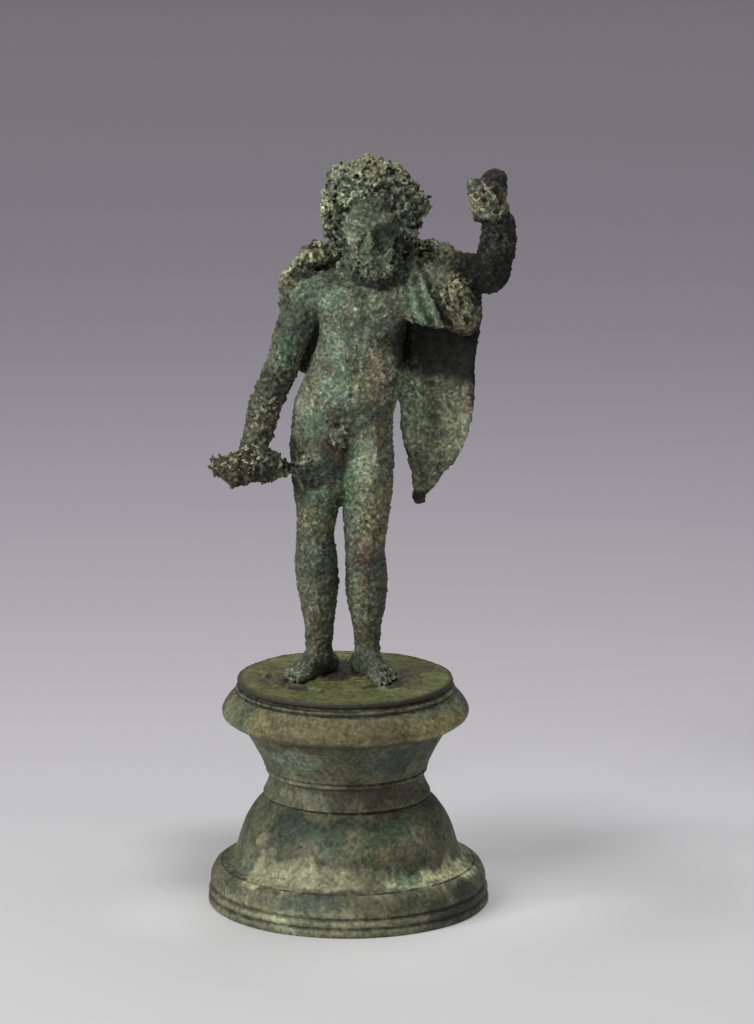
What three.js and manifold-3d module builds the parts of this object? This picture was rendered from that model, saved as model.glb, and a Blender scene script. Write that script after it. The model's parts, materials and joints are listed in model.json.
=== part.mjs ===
// A small cast bronze statuette of a bearded god on its own turned pedestal.
//
// The nude figure is one casting: it holds a thunderbolt in the lowered right hand, raises the
// left hand, which once gripped a staff, and wears a short cloak over the back and left shoulder.
// It stands on a thin round plate, and the plate closes the top of a hollow moulded pedestal.
//
// Millimetres, +Z up, the figure looks along -Y. The origin is on the floor, under the middle of
// the whole width. Every size below is taken from the pedestal's axis, and the whole is moved
// sideways at the end. "Right" and "left" in names are the figure's own right and left.

import * as THREE from "three";
import { edgeTable, triTable } from "three/addons/objects/MarchingCubes.js";
import { mergeVertices } from "three/addons/utils/BufferGeometryUtils.js";
import Module from "manifold-3d";

const wasm = await Module();
wasm.setup();

// Driving dimensions
const AXIS_X = -3.2; // the pedestal's axis, beside the middle of the whole width
const PEDESTAL_HEIGHT = 58.5;
const PEDESTAL_LEAN = -0.8; // how far the pedestal's top has sunk sideways
const FOOT_RADIUS = 36.9;
const TORUS_RADIUS = 32.4;
const WAIST_RADIUS = 20.1;
const WALL = 2.6;
const PLATE_THICKNESS = 1.5;
const PLATE_RADIUS = 28.2;
const FIGURE_HEIGHT = 138;
const ROUND_SEGMENTS = 36;

const SAMPLE_STEP = 0.75; // spacing of the samples that the figure's surface is drawn through
const BLOCK = 4; // samples along each side of a block that is passed over when it is far away
const FIGURE_TRIANGLES = 6240; // about as many as are left after thinning

const STAND_HEIGHT = PEDESTAL_HEIGHT + PLATE_THICKNESS;

// Small vector help
const mix = (a, b, t) => a + (b - a) * t;
const clamp = (value, low, high) => Math.min(Math.max(value, low), high);
const ramp = (value, low, high) => {
  const t = clamp((value - low) / (high - low), 0, 1);
  return t * t * (3 - 2 * t);
};

// Solid forms. Each returns a function of x, y and z that is negative inside the form, zero on
// its surface and about the distance to it elsewhere.

function egg([cx, cy, cz], [rx, ry, rz]) {
  return (x, y, z) => {
    const px = (x - cx) / rx;
    const py = (y - cy) / ry;
    const pz = (z - cz) / rz;
    const near = Math.hypot(px, py, pz);
    const steep = Math.hypot(px / rx, py / ry, pz / rz);
    return steep < 1e-6 ? -Math.min(rx, ry, rz) : (near * (near - 1)) / steep;
  };
}

const ball = (centre, radius) => egg(centre, [radius, radius, radius]);

// A rounded bar that tapers from one end's radius to the other's.
function bar([ax, ay, az], [bx, by, bz], startRadius, endRadius) {
  const [dx, dy, dz] = [bx - ax, by - ay, bz - az];
  const square = dx * dx + dy * dy + dz * dz;
  return (x, y, z) => {
    const t = clamp(((x - ax) * dx + (y - ay) * dy + (z - az) * dz) / square, 0, 1);
    const away = Math.hypot(x - ax - dx * t, y - ay - dy * t, z - az - dz * t);
    return away - mix(startRadius, endRadius, t);
  };
}

// Joins forms with a fillet of about the given size.
function blend(fillet, ...forms) {
  return (x, y, z) => {
    let d = forms[0](x, y, z);
    for (let i = 1; i < forms.length; i++) {
      const e = forms[i](x, y, z);
      const overlap = Math.max(fillet - Math.abs(d - e), 0) / fillet;
      d = Math.min(d, e) - (overlap * overlap * fillet) / 4;
    }
    return d;
  };
}

// Cuts forms out of a body, with a fillet along the cut's lip.
function carve(fillet, body, ...cuts) {
  const cut = blend(fillet, ...cuts);
  return (x, y, z) => {
    const d = body(x, y, z);
    const e = -cut(x, y, z);
    const overlap = Math.max(fillet - Math.abs(d - e), 0) / fillet;
    return Math.max(d, e) + (overlap * overlap * fillet) / 4;
  };
}

// A limb through joints given as [x, y, z, radius].
function limb(fillet, ...joints) {
  const bars = joints.slice(1).map((joint, i) => {
    const before = joints[i];
    return bar(before.slice(0, 3), joint.slice(0, 3), before[3], joint[3]);
  });
  return blend(fillet, ...bars);
}

// A form made about its own origin, turned about X, Y and Z by degrees and set down at a place.
function placed([cx, cy, cz], [rx, ry, rz], form) {
  const turn = new THREE.Euler(...[rx, ry, rz].map(THREE.MathUtils.degToRad), "ZYX");
  const back = new THREE.Matrix4().makeRotationFromEuler(turn).invert().elements;
  return (x, y, z) => {
    const [px, py, pz] = [x - cx, y - cy, z - cz];
    return form(
      back[0] * px + back[4] * py + back[8] * pz,
      back[1] * px + back[5] * py + back[9] * pz,
      back[2] * px + back[6] * py + back[10] * pz,
    );
  };
}

// A form whose distance is near enough that of a ball around it, away from that ball. It saves
// time and changes nothing near the form.
function within([cx, cy, cz], radius, form) {
  return (x, y, z) => {
    const away = Math.hypot(x - cx, y - cy, z - cz) - radius;
    return away > 4 ? away : form(x, y, z);
  };
}

// A trunk whose level sections are ellipses, from [z, x, y, half width, half depth] upwards.
function trunk(stations) {
  const bottom = stations[0][0];
  const top = stations.at(-1)[0];
  const line = new THREE.CatmullRomCurve3(stations.map(([z, x, y]) => new THREE.Vector3(x, y, z)));
  const girth = new THREE.CatmullRomCurve3(
    stations.map(([z, , , wide, deep]) => new THREE.Vector3(wide, deep, z)),
  );
  const steps = 80;
  const axis = line.getPoints(steps);
  const sizes = girth.getPoints(steps);
  return (x, y, z) => {
    let i = 0;
    while (i < steps - 1 && axis[i + 1].z < z) i++;
    const t = clamp((z - axis[i].z) / (axis[i + 1].z - axis[i].z), 0, 1);
    const wide = mix(sizes[i].x, sizes[i + 1].x, t);
    const deep = mix(sizes[i].y, sizes[i + 1].y, t);
    const px = (x - mix(axis[i].x, axis[i + 1].x, t)) / wide;
    const py = (y - mix(axis[i].y, axis[i + 1].y, t)) / deep;
    const near = Math.hypot(px, py);
    const steep = Math.hypot(px / wide, py / deep);
    const side = steep < 1e-6 ? -Math.min(wide, deep) : (near * (near - 1)) / steep;
    return Math.max(side, bottom - z, z - top);
  };
}

// A thick sheet that stands over the XZ plane: an outline seen from the front, and a function
// that gives the depth of its middle surface.
function sheet(outline, depthAt, thickness) {
  const rim = new THREE.CatmullRomCurve3(
    outline.map(([x, z]) => new THREE.Vector3(x, z, 0)),
    true,
    "centripetal",
  ).getPoints(4 * outline.length);
  rim.pop();
  const rounding = 0.6 * thickness;
  return (x, y, z) => {
    let square = Infinity;
    let inside = false;
    for (let i = 0, j = rim.length - 1; i < rim.length; j = i++) {
      const [a, b] = [rim[j], rim[i]];
      const [ex, ez] = [b.x - a.x, b.y - a.y];
      const t = clamp(((x - a.x) * ex + (z - a.y) * ez) / (ex * ex + ez * ez), 0, 1);
      square = Math.min(square, (x - a.x - ex * t) ** 2 + (z - a.y - ez * t) ** 2);
      if (a.y > z !== b.y > z && x < a.x + ((z - a.y) * ex) / ez) inside = !inside;
    }
    const across = (inside ? -1 : 1) * Math.sqrt(square);
    const through = 0.85 * (Math.abs(y - depthAt(x, z)) - thickness / 2);
    const overlap = Math.max(rounding - Math.abs(across - through), 0) / rounding;
    return Math.max(across, through) + (overlap * overlap * rounding) / 4;
  };
}

// The figure's landmarks, from the soles up
const RIGHT = {
  heel: [-4.7, 5.4],
  toes: [-15.4, -6.6],
  ankle: [-7.8, 2.2],
  shoulder: [-10.4, 1.2, 101.4],
  elbow: [-17.2, 1.6, 81.5],
  wrist: [-23.7, -3.4, 63.8],
  fist: [-25.2, -6.2, 59.4],
};
const LEFT = {
  heel: [2.8, 5.9],
  toes: [10.8, -9.0],
  ankle: [4.9, 2.0],
  shoulder: [20.2, 2.2, 105.4],
  elbow: [36.7, 1.6, 106.2],
  wrist: [38.6, -1.2, 119.6],
  fist: [36.1, -2.6, 126.2],
};
const HEAD = [6.2, -2.6, 121.2];
const HEAD_TURN = [22, 0, -4]; // bowed, leaning and turned, in degrees
const NECK_BASE = [5.2, 1.4, 104];

// Each leg's level sections from the ankle up, as [z, x, y, half width, half depth]
const RIGHT_LEG = [
  [3, -7.7, 2.9, 3.4, 4.4],
  [8, -7.7, 2.2, 3.5, 4.0],
  [12.5, -7.5, 1.8, 3.8, 4.2],
  [17, -7.6, 1.8, 4.3, 4.8],
  [22, -7.8, 1.9, 5.2, 5.7],
  [28, -8.2, 1.6, 5.8, 6.1],
  [33, -8.3, 0.2, 5.5, 5.8],
  [37.5, -8.5, 0.0, 4.8, 5.5],
  [43, -8.0, 0.0, 5.3, 6.1],
  [50, -7.7, 0.4, 6.4, 6.9],
  [58, -7.9, 0.8, 6.7, 7.0],
  [66, -7.6, 1.0, 5.4, 5.6],
];
const LEFT_LEG = [
  [3, 4.9, 2.8, 3.3, 4.3],
  [8, 4.9, 2.0, 3.4, 3.9],
  [12.5, 4.9, 1.4, 3.5, 4.0],
  [17, 4.8, 1.1, 4.5, 4.7],
  [22, 4.7, 1.0, 5.4, 5.6],
  [28, 4.8, 0.6, 5.5, 5.9],
  [33, 4.5, -1.0, 5.1, 5.6],
  [37.5, 4.4, -1.6, 5.4, 5.7],
  [43, 4.6, -1.6, 6.0, 6.3],
  [50, 5.1, -1.0, 6.5, 7.0],
  [58, 5.2, 0.4, 6.5, 7.0],
  [66, 4.8, 1.4, 5.4, 5.4],
];

// The torso's level sections, from the crotch to the neck
const TORSO = [
  [50, -1.4, 1.0, 11.8, 6.4],
  [57, -1.6, 1.2, 13.1, 7.6],
  [66, -1.6, 0.9, 13.3, 7.6],
  [72, -1.0, 0.5, 12.9, 7.2],
  [77, 0.3, 0.1, 12.7, 6.8],
  [82, 1.6, -0.1, 11.9, 6.4],
  [87, 2.9, -0.2, 11.4, 6.4],
  [92, 3.9, 0.1, 11.2, 6.7],
  [98, 4.6, 0.8, 11.6, 6.8],
  [103, 5.0, 1.4, 11.4, 6.0],
  [107, 5.3, 1.7, 8.0, 5.0],
  [111, 5.6, 1.8, 5.4, 4.4],
];

function leg(stations, kneeHeight) {
  const [, x, y, , deep] = stations.find(([z]) => z > kneeHeight - 1);
  const kneecap = egg([x, y - deep + 1.0, kneeHeight + 1.2], [2.9, 1.7, 3.0]);
  return blend(1.6, trunk(stations), kneecap);
}

// A bare foot from the heel to five toes, the big toe on the inner side.
function foot({ heel, toes, ankle }) {
  const length = Math.hypot(toes[0] - heel[0], toes[1] - heel[1]);
  const ahead = [(toes[0] - heel[0]) / length, (toes[1] - heel[1]) / length];
  const outward = Math.sign(ahead[0]);
  const at = (along, across, z) => [
    heel[0] + ahead[0] * along - ahead[1] * across * outward,
    heel[1] + ahead[1] * along + ahead[0] * across * outward,
    z,
  ];
  const instep = bar([ankle[0], ankle[1] - 0.4, 6.6], at(0.66 * length, -0.6, 2.4), 3.2, 2.3);
  const sole = bar(at(0, 0, 2.5), at(0.6 * length, 0.4, 1.9), 2.8, 2.5);
  const ballOfFoot = egg(at(0.72 * length, 0.2, 1.9), [3.7, 3.4, 2.2]);
  const digits = [];
  for (let i = 0; i < 5; i++) {
    const across = mix(-3.1, 3.5, i / 4);
    const reach = length + mix(1.6, -2.6, (i / 4) ** 1.4);
    const radius = i === 0 ? 1.4 : 1.0;
    const root = [...at(reach - 5.5, 0.8 * across, 2.0), radius + 0.3];
    const joint = [...at(reach - 1.8, across, 1.9), radius + 0.1];
    const tip = [...at(reach, across, 1.2), radius];
    digits.push(limb(0.5, root, joint, tip));
  }
  return blend(1.4, instep, sole, ballOfFoot, blend(0.3, ...digits));
}

function torso() {
  const shoulders = bar([-8.6, 1.4, 102], [18.6, 2.2, 105], 4.9, 5.2);
  const chest = [
    egg([-1.6, -3.9, 99.0], [6.2, 3.2, 4.5]),
    egg([10.6, -3.7, 99.9], [6.2, 3.2, 4.6]),
  ];
  const belly = [
    egg([1.4, -4.1, 85.0], [5.4, 2.9, 7.4]),
    egg([-0.4, -4.0, 73.4], [8.8, 3.8, 6.4]),
  ];
  const flanks = [
    egg([-9.8, -0.8, 71.5], [4.4, 5.6, 5.4]),
    egg([9.0, -0.4, 76.6], [4.6, 5.6, 5.0]),
  ];
  const buttocks = [egg([-7.6, 5.4, 60.5], [6.2, 4.6, 6.6]), egg([4.6, 5.0, 60.6], [6.0, 4.4, 6.4])];
  const neck = bar(NECK_BASE, [6.6, 0.4, 114], 5.6, 5.2);
  const sex = [
    egg([-2.4, -6.6, 66.2], [2.3, 1.7, 1.7]),
    bar([-2.2, -8.2, 67.0], [-1.6, -9.0, 64.0], 1.0, 0.8),
    egg([-2.3, -7.0, 63.6], [1.9, 1.6, 1.7]),
  ];
  const groin = [
    limb(1, [-14.0, -1.8, 70.6, 0.7], [-8.6, -6.2, 62.8, 1.1], [-4.4, -7.6, 59.6, 0.8]),
    limb(1, [12.0, -2.0, 74.4, 0.8], [6.6, -6.0, 69.2, 1.3], [0.8, -7.8, 64.2, 1.2]),
  ];
  const solid = blend(
    2.0,
    trunk(TORSO),
    shoulders,
    ...chest,
    ...belly,
    ...flanks,
    ...buttocks,
    neck,
  );
  const cleft = bar([-1.5, 11.2, 66], [-1.5, 10.4, 54], 1.2, 1.2);
  return blend(0.8, carve(1.4, solid, ...groin, cleft), blend(0.8, ...sex));
}

// Curls set side by side along an arch that runs from one jaw over the crown to the other.
function curlArch(halfWidth, height, depth, middle, count, radius, spread = 215) {
  const curls = [];
  for (let i = 0; i < count; i++) {
    const angle = THREE.MathUtils.degToRad(90 + spread * (i / (count - 1) - 0.5));
    const out = i % 2 ? 1.0 : 0.93;
    const centre = [
      out * halfWidth * Math.cos(angle),
      depth + (i % 2 ? 0.7 : -0.5),
      middle + out * height * Math.sin(angle),
    ];
    curls.push(ball(centre, radius));
  }
  return curls;
}

// The head about the middle of the skull, looking along -Y.
function head() {
  const skull = egg([0, 0.4, 2.0], [7.4, 8.0, 9.4]);
  const jaw = egg([0, -3.2, -6.0], [6.8, 5.2, 6.4]);
  const cheeks = [3.6, -3.6].map((x) => ball([x, -5.7, -2.2], 2.7));
  const brow = [1, -1].map((s) => bar([s * 0.8, -8.5, 3.6], [s * 5.2, -6.8, 3.1], 1.0, 0.9));
  const nose = bar([0, -8.3, 3.2], [0, -10.4, -1.3], 1.0, 1.6);
  const sockets = [1, -1].map((s) => egg([s * 3.2, -9.2, 1.4], [2.0, 1.5, 1.2]));
  const eyes = [1, -1].map((s) => ball([s * 3.1, -6.4, 1.2], 1.5));
  const lips = egg([0, -8.7, -4.8], [2.2, 1.2, 1.0]);
  const face = carve(0.8, blend(1.2, skull, jaw, ...cheeks, ...brow, nose), ...sockets);

  const moustache = [1, -1].map((s) => bar([s * 0.6, -9.5, -3.3], [s * 5.0, -7.6, -6.0], 1.0, 0.9));
  const beard = [egg([0, -3.2, -7.8], [8.0, 5.2, 6.0])];
  const beardRows = [
    { z: -3.4, count: 2, wide: 7.6, radius: 1.8 },
    { z: -6.6, count: 7, wide: 8.0, radius: 1.8 },
    { z: -9.8, count: 6, wide: 6.4, radius: 1.9 },
    { z: -12.6, count: 4, wide: 3.9, radius: 1.8 },
  ];
  for (const { z, count, wide, radius } of beardRows) {
    for (let i = 0; i < count; i++) {
      const x = wide * (2 * (i / (count - 1)) - 1);
      const y = -8.6 + 5.4 * (x / 8.0) ** 2;
      beard.push(egg([x, y, z], [radius, radius, 1.2 * radius]));
    }
  }

  const hairMass = egg([0, 3.0, 3.2], [10.6, 8.4, 11.0]);
  const nape = egg([0, 5.0, -5.5], [9.8, 6.0, 6.8]);
  const curls = [
    ...curlArch(8.6, 7.0, -6.4, 1.6, 11, 1.9, 190),
    ...curlArch(10.0, 9.8, -4.2, 1.6, 15, 2.2),
    ...curlArch(11.0, 11.0, -1.2, 2.0, 17, 2.4),
    ...curlArch(11.2, 11.4, 2.8, 2.2, 17, 2.4),
    ...curlArch(10.4, 10.6, 6.6, 2.2, 15, 2.3, 240),
    ...curlArch(7.4, 7.4, 9.6, 2.4, 11, 2.3, 270),
    ...curlArch(3.2, 3.4, 11.2, 2.4, 5, 2.3, 288),
    ...[-8.6, -4.4, 0, 4.4, 8.6].map((x) => ball([x, 8.4 - 0.03 * x * x, -8.0], 2.2)),
  ];
  const sideLocks = [
    limb(1, [-10.8, -1.4, 4, 2.2], [-10.4, 0.4, -3, 2.1], [-9.6, 2.4, -9.5, 1.9]),
    limb(1, [10.8, -1.4, 4, 2.4], [10.2, 0.4, -3, 2.1], [9.6, 2.4, -9.5, 1.9]),
    ball([12.2, -1.6, 4.6], 2.7),
  ];
  return blend(
    0.5,
    face,
    ...eyes,
    lips,
    blend(0.5, ...moustache, ...beard),
    blend(0.7, hairMass, nape, ...sideLocks, ...curls),
  );
}

// The lowered right arm, bare, with a fist about the thunderbolt.
function rightArm() {
  const { shoulder, elbow, wrist, fist } = RIGHT;
  const arm = limb(
    2,
    [...shoulder, 4.8],
    [-12.6, 0.8, 95.5, 4.4],
    [-14.8, 1.0, 89.5, 4.4],
    [...elbow, 4.1],
    [-19.7, 0.8, 76, 4.0],
    [-21.6, -0.6, 71.2, 4.1],
    [-22.8, -2.2, 67, 3.6],
    [...wrist, 3.1],
    [...fist, 3.2],
  );
  const fingers = [];
  for (let i = 0; i < 4; i++) {
    const x = fist[0] - 3.2 + 2.1 * i;
    fingers.push(limb(0.5, [x, -8.6, 61.6, 1.1], [x, -11.0, 58.8, 1.2], [x + 0.2, -9.6, 54.4, 1.1]));
  }
  const thumb = bar([fist[0] + 2.6, -4.4, 62], [fist[0] + 3.6, -8.6, 60.8], 1.3, 1.1);
  return blend(1.0, arm, egg(fist, [4.0, 3.6, 3.8]), ...fingers, thumb);
}

// One end of the thunderbolt: a bud of flames that swells from the grip and closes in a point.
function flameBud(grip, swell, tip, girth) {
  const flames = 6;
  const forms = [limb(1, [...grip, 0.62 * girth], [...swell, 0.85 * girth], [...tip, 0.5])];
  for (let i = 0; i < flames; i++) {
    const angle = (2 * Math.PI * i) / flames;
    const ring = (centre, radius, twist) => [
      centre[0],
      centre[1] + radius * Math.cos(angle + twist),
      centre[2] + radius * Math.sin(angle + twist),
    ];
    forms.push(
      limb(
        0.6,
        [...ring(grip, 0.55 * girth, 0), 0.8],
        [...ring(swell, 0.74 * girth, 0.4), 1.25],
        [...ring(tip, 0.1, 0.9), 0.6],
      ),
    );
  }
  return blend(0.5, ...forms);
}

function thunderbolt() {
  return blend(
    0.8,
    flameBud([-25.4, -7.2, 57.0], [-29.8, -7.2, 56.7], [-35.0, -7.0, 58.9], 4.1),
    flameBud([-23.6, -7.0, 57.4], [-19.8, -6.6, 57.6], [-14.6, -5.0, 56.6], 4.2),
    bar([-16.6, -5.6, 57.0], [-12.6, -4.2, 56.4], 1.9, 1.6),
  );
}

// The raised left arm, bent at a right angle. Its fist is closed on the stub of a staff.
function leftArm() {
  const { shoulder, elbow, wrist, fist } = LEFT;
  const arm = limb(
    1.6,
    [...shoulder, 5.2],
    [28.5, 1.8, 106.4, 5.2],
    [...elbow, 4.7],
    [38.1, 0.6, 112.0, 4.5],
    [38.7, -0.4, 115.6, 4.2],
    [...wrist, 4.0],
    [fist[0] + 1.2, fist[1] + 0.4, fist[2] - 2, 3.8],
  );
  const palm = egg(fist, [4.6, 4.0, 4.6]);
  const fingers = [];
  for (let i = 0; i < 4; i++) {
    const z = fist[2] - 3.6 + 2.3 * i;
    fingers.push(limb(0.5, [39.6, -4.4, z, 1.2], [36.6, -7.0, z + 0.2, 1.3], [33.4, -5.8, z, 1.2]));
  }
  const stub = bar([37.2, -2.4, 128.8], [37.2, -2.4, 131.2], 3.5, 3.2);
  const thumb = limb(0.6, [33.2, -3.0, 122, 1.7], [32.2, -4.2, 127, 1.5], [32.0, -3.6, 131, 1.6]);
  return blend(0.9, arm, palm, ...fingers, stub, thumb);
}

// The cloak's back: it covers the shoulders, ends at the waist on the right, and on the left
// hangs from the raised arm to a weighted corner.
function cloakBack() {
  const outline = [
    [-12.5, 108.4],
    [-16.6, 105.6],
    [-17.2, 99],
    [-16.6, 90],
    [-12.9, 80.2],
    [-4, 77.2],
    [6, 76.0],
    [12.6, 73.6],
    [13.2, 66],
    [14.6, 58.6],
    [16.6, 51.6],
    [16.9, 47.6],
    [20.6, 47.6],
    [23.9, 51.4],
    [28.8, 58.2],
    [31.6, 65.4],
    [32.7, 72],
    [33.0, 84],
    [34.4, 96],
    [31.0, 106],
    [22, 110.2],
    [6, 110.2],
  ];
  const depthAt = (x, z) => {
    const wrap = x < 4 ? 8.6 - 4.2 * ((x - 4) / 21) ** 2 : 8.6 - 2.4 * ((x - 4) / 14) ** 2;
    const hanging = ramp(x, 12, 18);
    const hollow = 5.4 - 6.4 * ramp(x, 24, 35) + 0.02 * (z - 72);
    const overShoulder = -2.6 * ramp(z, 98, 109);
    const folds = 0.75 * Math.sin((x + 0.16 * (z - 90)) * 1.05) * ramp(104 - z, 0, 16);
    return mix(wrap, hollow, hanging) + overShoulder + folds * mix(1, 0.45, hanging);
  };
  const ridges = [];
  for (let i = 0; i < 4; i++) {
    const x = 16.5 + 4.6 * i;
    const top = [x, depthAt(x, 100) + 1.3, 100];
    const low = [mix(x, 19.2, 0.75), depthAt(mix(x, 19.2, 0.75), 57) + 0.9, 57];
    ridges.push(limb(1, [...top, 1.3], [...low, 0.8]));
  }
  const weight = ball([18.5, 4.9, 46.4], 1.8);
  return blend(1.0, sheet(outline, depthAt, 2.3), ...ridges, weight);
}

// The cloak's front: folds that fall from the left shoulder to the armpit, a fuller swag over
// the upper arm, and the rolled edge that passes behind the neck.
function cloakFront() {
  const foldTops = [14.2, 16.4, 18.8, 21.4];
  const foldFeet = [16.4, 19.8, 23.4, 26.6];
  const folds = foldTops.map((topX, i) =>
    limb(
      1.4,
      [topX, 2.0, 110.0 - 0.3 * i, 1.9],
      [mix(topX, foldFeet[i], 0.3), -3.2, 106.6, 2.1],
      [foldFeet[i], -6.0 + 0.5 * i, 95.8 - 0.5 * i, 1.7],
    ),
  );
  const swag = limb(
    1.4,
    [25.8, -0.8, 107.8, 2.6],
    [27.8, -4.6, 103.0, 3.4],
    [29.6, -4.8, 97.0, 3.2],
    [30.6, -3.0, 92.6, 2.0],
  );
  const apron = egg([22.6, -3.0, 99.4], [8.4, 2.8, 6.6]);
  const drop = egg([29.6, -1.4, 98.6], [4.9, 4.6, 8.2]);
  const roll = limb(
    1.6,
    [-15.4, 1.4, 104.4, 2.2],
    [-12.4, 3.0, 108.0, 2.2],
    [-8.4, 3.2, 110.8, 2.6],
    [-2.0, 6.2, 111.4, 2.4],
    [8.0, 8.0, 111.6, 2.3],
    [17.0, 5.4, 111.4, 2.6],
    [23.6, 2.6, 111.6, 2.8],
    [29.4, 1.4, 109.4, 2.3],
  );
  const lumps = [
    ball([-15.9, 0.6, 105.2], 2.2),
    ball([-10.6, 1.8, 112.0], 2.1),
    ball([-7.0, 2.2, 112.6], 1.7),
    ball([-4.2, 3.4, 112.8], 1.9),
    ball([22.2, 1.0, 112.8], 2.3),
    ball([25.4, 0.8, 112.2], 2.2),
    ball([28.8, 0.4, 110.0], 2.2),
  ];
  const edge = limb(0.8, [-15.8, 1.0, 103, 1.6], [-16.6, 2.6, 97.5, 1.4], [-16.0, 3.8, 92, 1.3]);
  return blend(0.7, apron, drop, ...folds, swag, blend(0.6, roll, ...lumps), edge);
}

function figure() {
  const legs = blend(0.4, leg(RIGHT_LEG, 32), leg(LEFT_LEG, 34));
  return blend(
    0.7,
    blend(1.6, torso(), legs, blend(1.0, rightArm(), thunderbolt())),
    within([-10, -1, 3], 14, foot(RIGHT)),
    within([7, -2, 3], 14, foot(LEFT)),
    within([7, -2, 122], 20, placed(HEAD, HEAD_TURN, head())),
    leftArm(),
    cloakBack(),
    within([7, 0, 102], 27, cloakFront()),
  );
}

// Draws a form's surface through a grid of samples. Neighbouring cells share their vertices, so
// the surface is closed. It returns flat lists of coordinates and of corner numbers.
function surfaceOf(form, low, high, step) {
  const counts = low.map((v, i) => Math.ceil((high[i] - v) / step) + 1);
  const [nx, ny, nz] = counts;
  const values = new Float32Array(nx * ny * nz);
  const index = (i, j, k) => i + nx * (j + ny * k);
  const valueAt = (i, j, k) => form(low[0] + i * step, low[1] + j * step, low[2] + k * step);
  const half = (BLOCK - 1) / 2;
  const near = 1.6 * Math.sqrt(3) * half * step;
  for (let k0 = 0; k0 < nz; k0 += BLOCK)
    for (let j0 = 0; j0 < ny; j0 += BLOCK)
      for (let i0 = 0; i0 < nx; i0 += BLOCK) {
        const middle = valueAt(i0 + half, j0 + half, k0 + half);
        for (let k = k0; k < Math.min(k0 + BLOCK, nz); k++)
          for (let j = j0; j < Math.min(j0 + BLOCK, ny); j++)
            for (let i = i0; i < Math.min(i0 + BLOCK, nx); i++)
              values[index(i, j, k)] = Math.abs(middle) > near ? middle : valueAt(i, j, k);
      }

  // A cell's corners and the pairs of corners that its edges join, in the tables' order
  const corners = [
    [0, 0, 0],
    [1, 0, 0],
    [1, 1, 0],
    [0, 1, 0],
    [0, 0, 1],
    [1, 0, 1],
    [1, 1, 1],
    [0, 1, 1],
  ];
  const edges = [
    [0, 1],
    [1, 2],
    [2, 3],
    [3, 0],
    [4, 5],
    [5, 6],
    [6, 7],
    [7, 4],
    [0, 4],
    [1, 5],
    [2, 6],
    [3, 7],
  ];
  const positions = [];
  const triangles = [];
  const vertexOnEdge = new Map();
  const vertexBetween = (a, b) => {
    const [first, second] = a.id < b.id ? [a, b] : [b, a];
    const key = first.id * values.length + second.id;
    if (!vertexOnEdge.has(key)) {
      const t = clamp(first.value / (first.value - second.value), 0.02, 0.98);
      vertexOnEdge.set(key, positions.length / 3);
      for (let axis = 0; axis < 3; axis++)
        positions.push(low[axis] + step * mix(first.at[axis], second.at[axis], t));
    }
    return vertexOnEdge.get(key);
  };
  for (let k = 0; k < nz - 1; k++)
    for (let j = 0; j < ny - 1; j++)
      for (let i = 0; i < nx - 1; i++) {
        let inside = 0;
        for (let c = 0; c < 8; c++) {
          const [ci, cj, ck] = corners[c];
          if (values[index(i + ci, j + cj, k + ck)] < 0) inside |= 1 << c;
        }
        if (edgeTable[inside] === 0) continue;
        const cell = corners.map(([ci, cj, ck]) => {
          const id = index(i + ci, j + cj, k + ck);
          return { id, value: values[id], at: [i + ci, j + cj, k + ck] };
        });
        for (let n = 16 * inside; triTable[n] !== -1; n += 3) {
          const [a, b, c] = [0, 1, 2].map((m) => {
            const [from, to] = edges[triTable[n + m]];
            return vertexBetween(cell[from], cell[to]);
          });
          triangles.push(a, c, b);
        }
      }
  return { positions, triangles };
}

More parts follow.
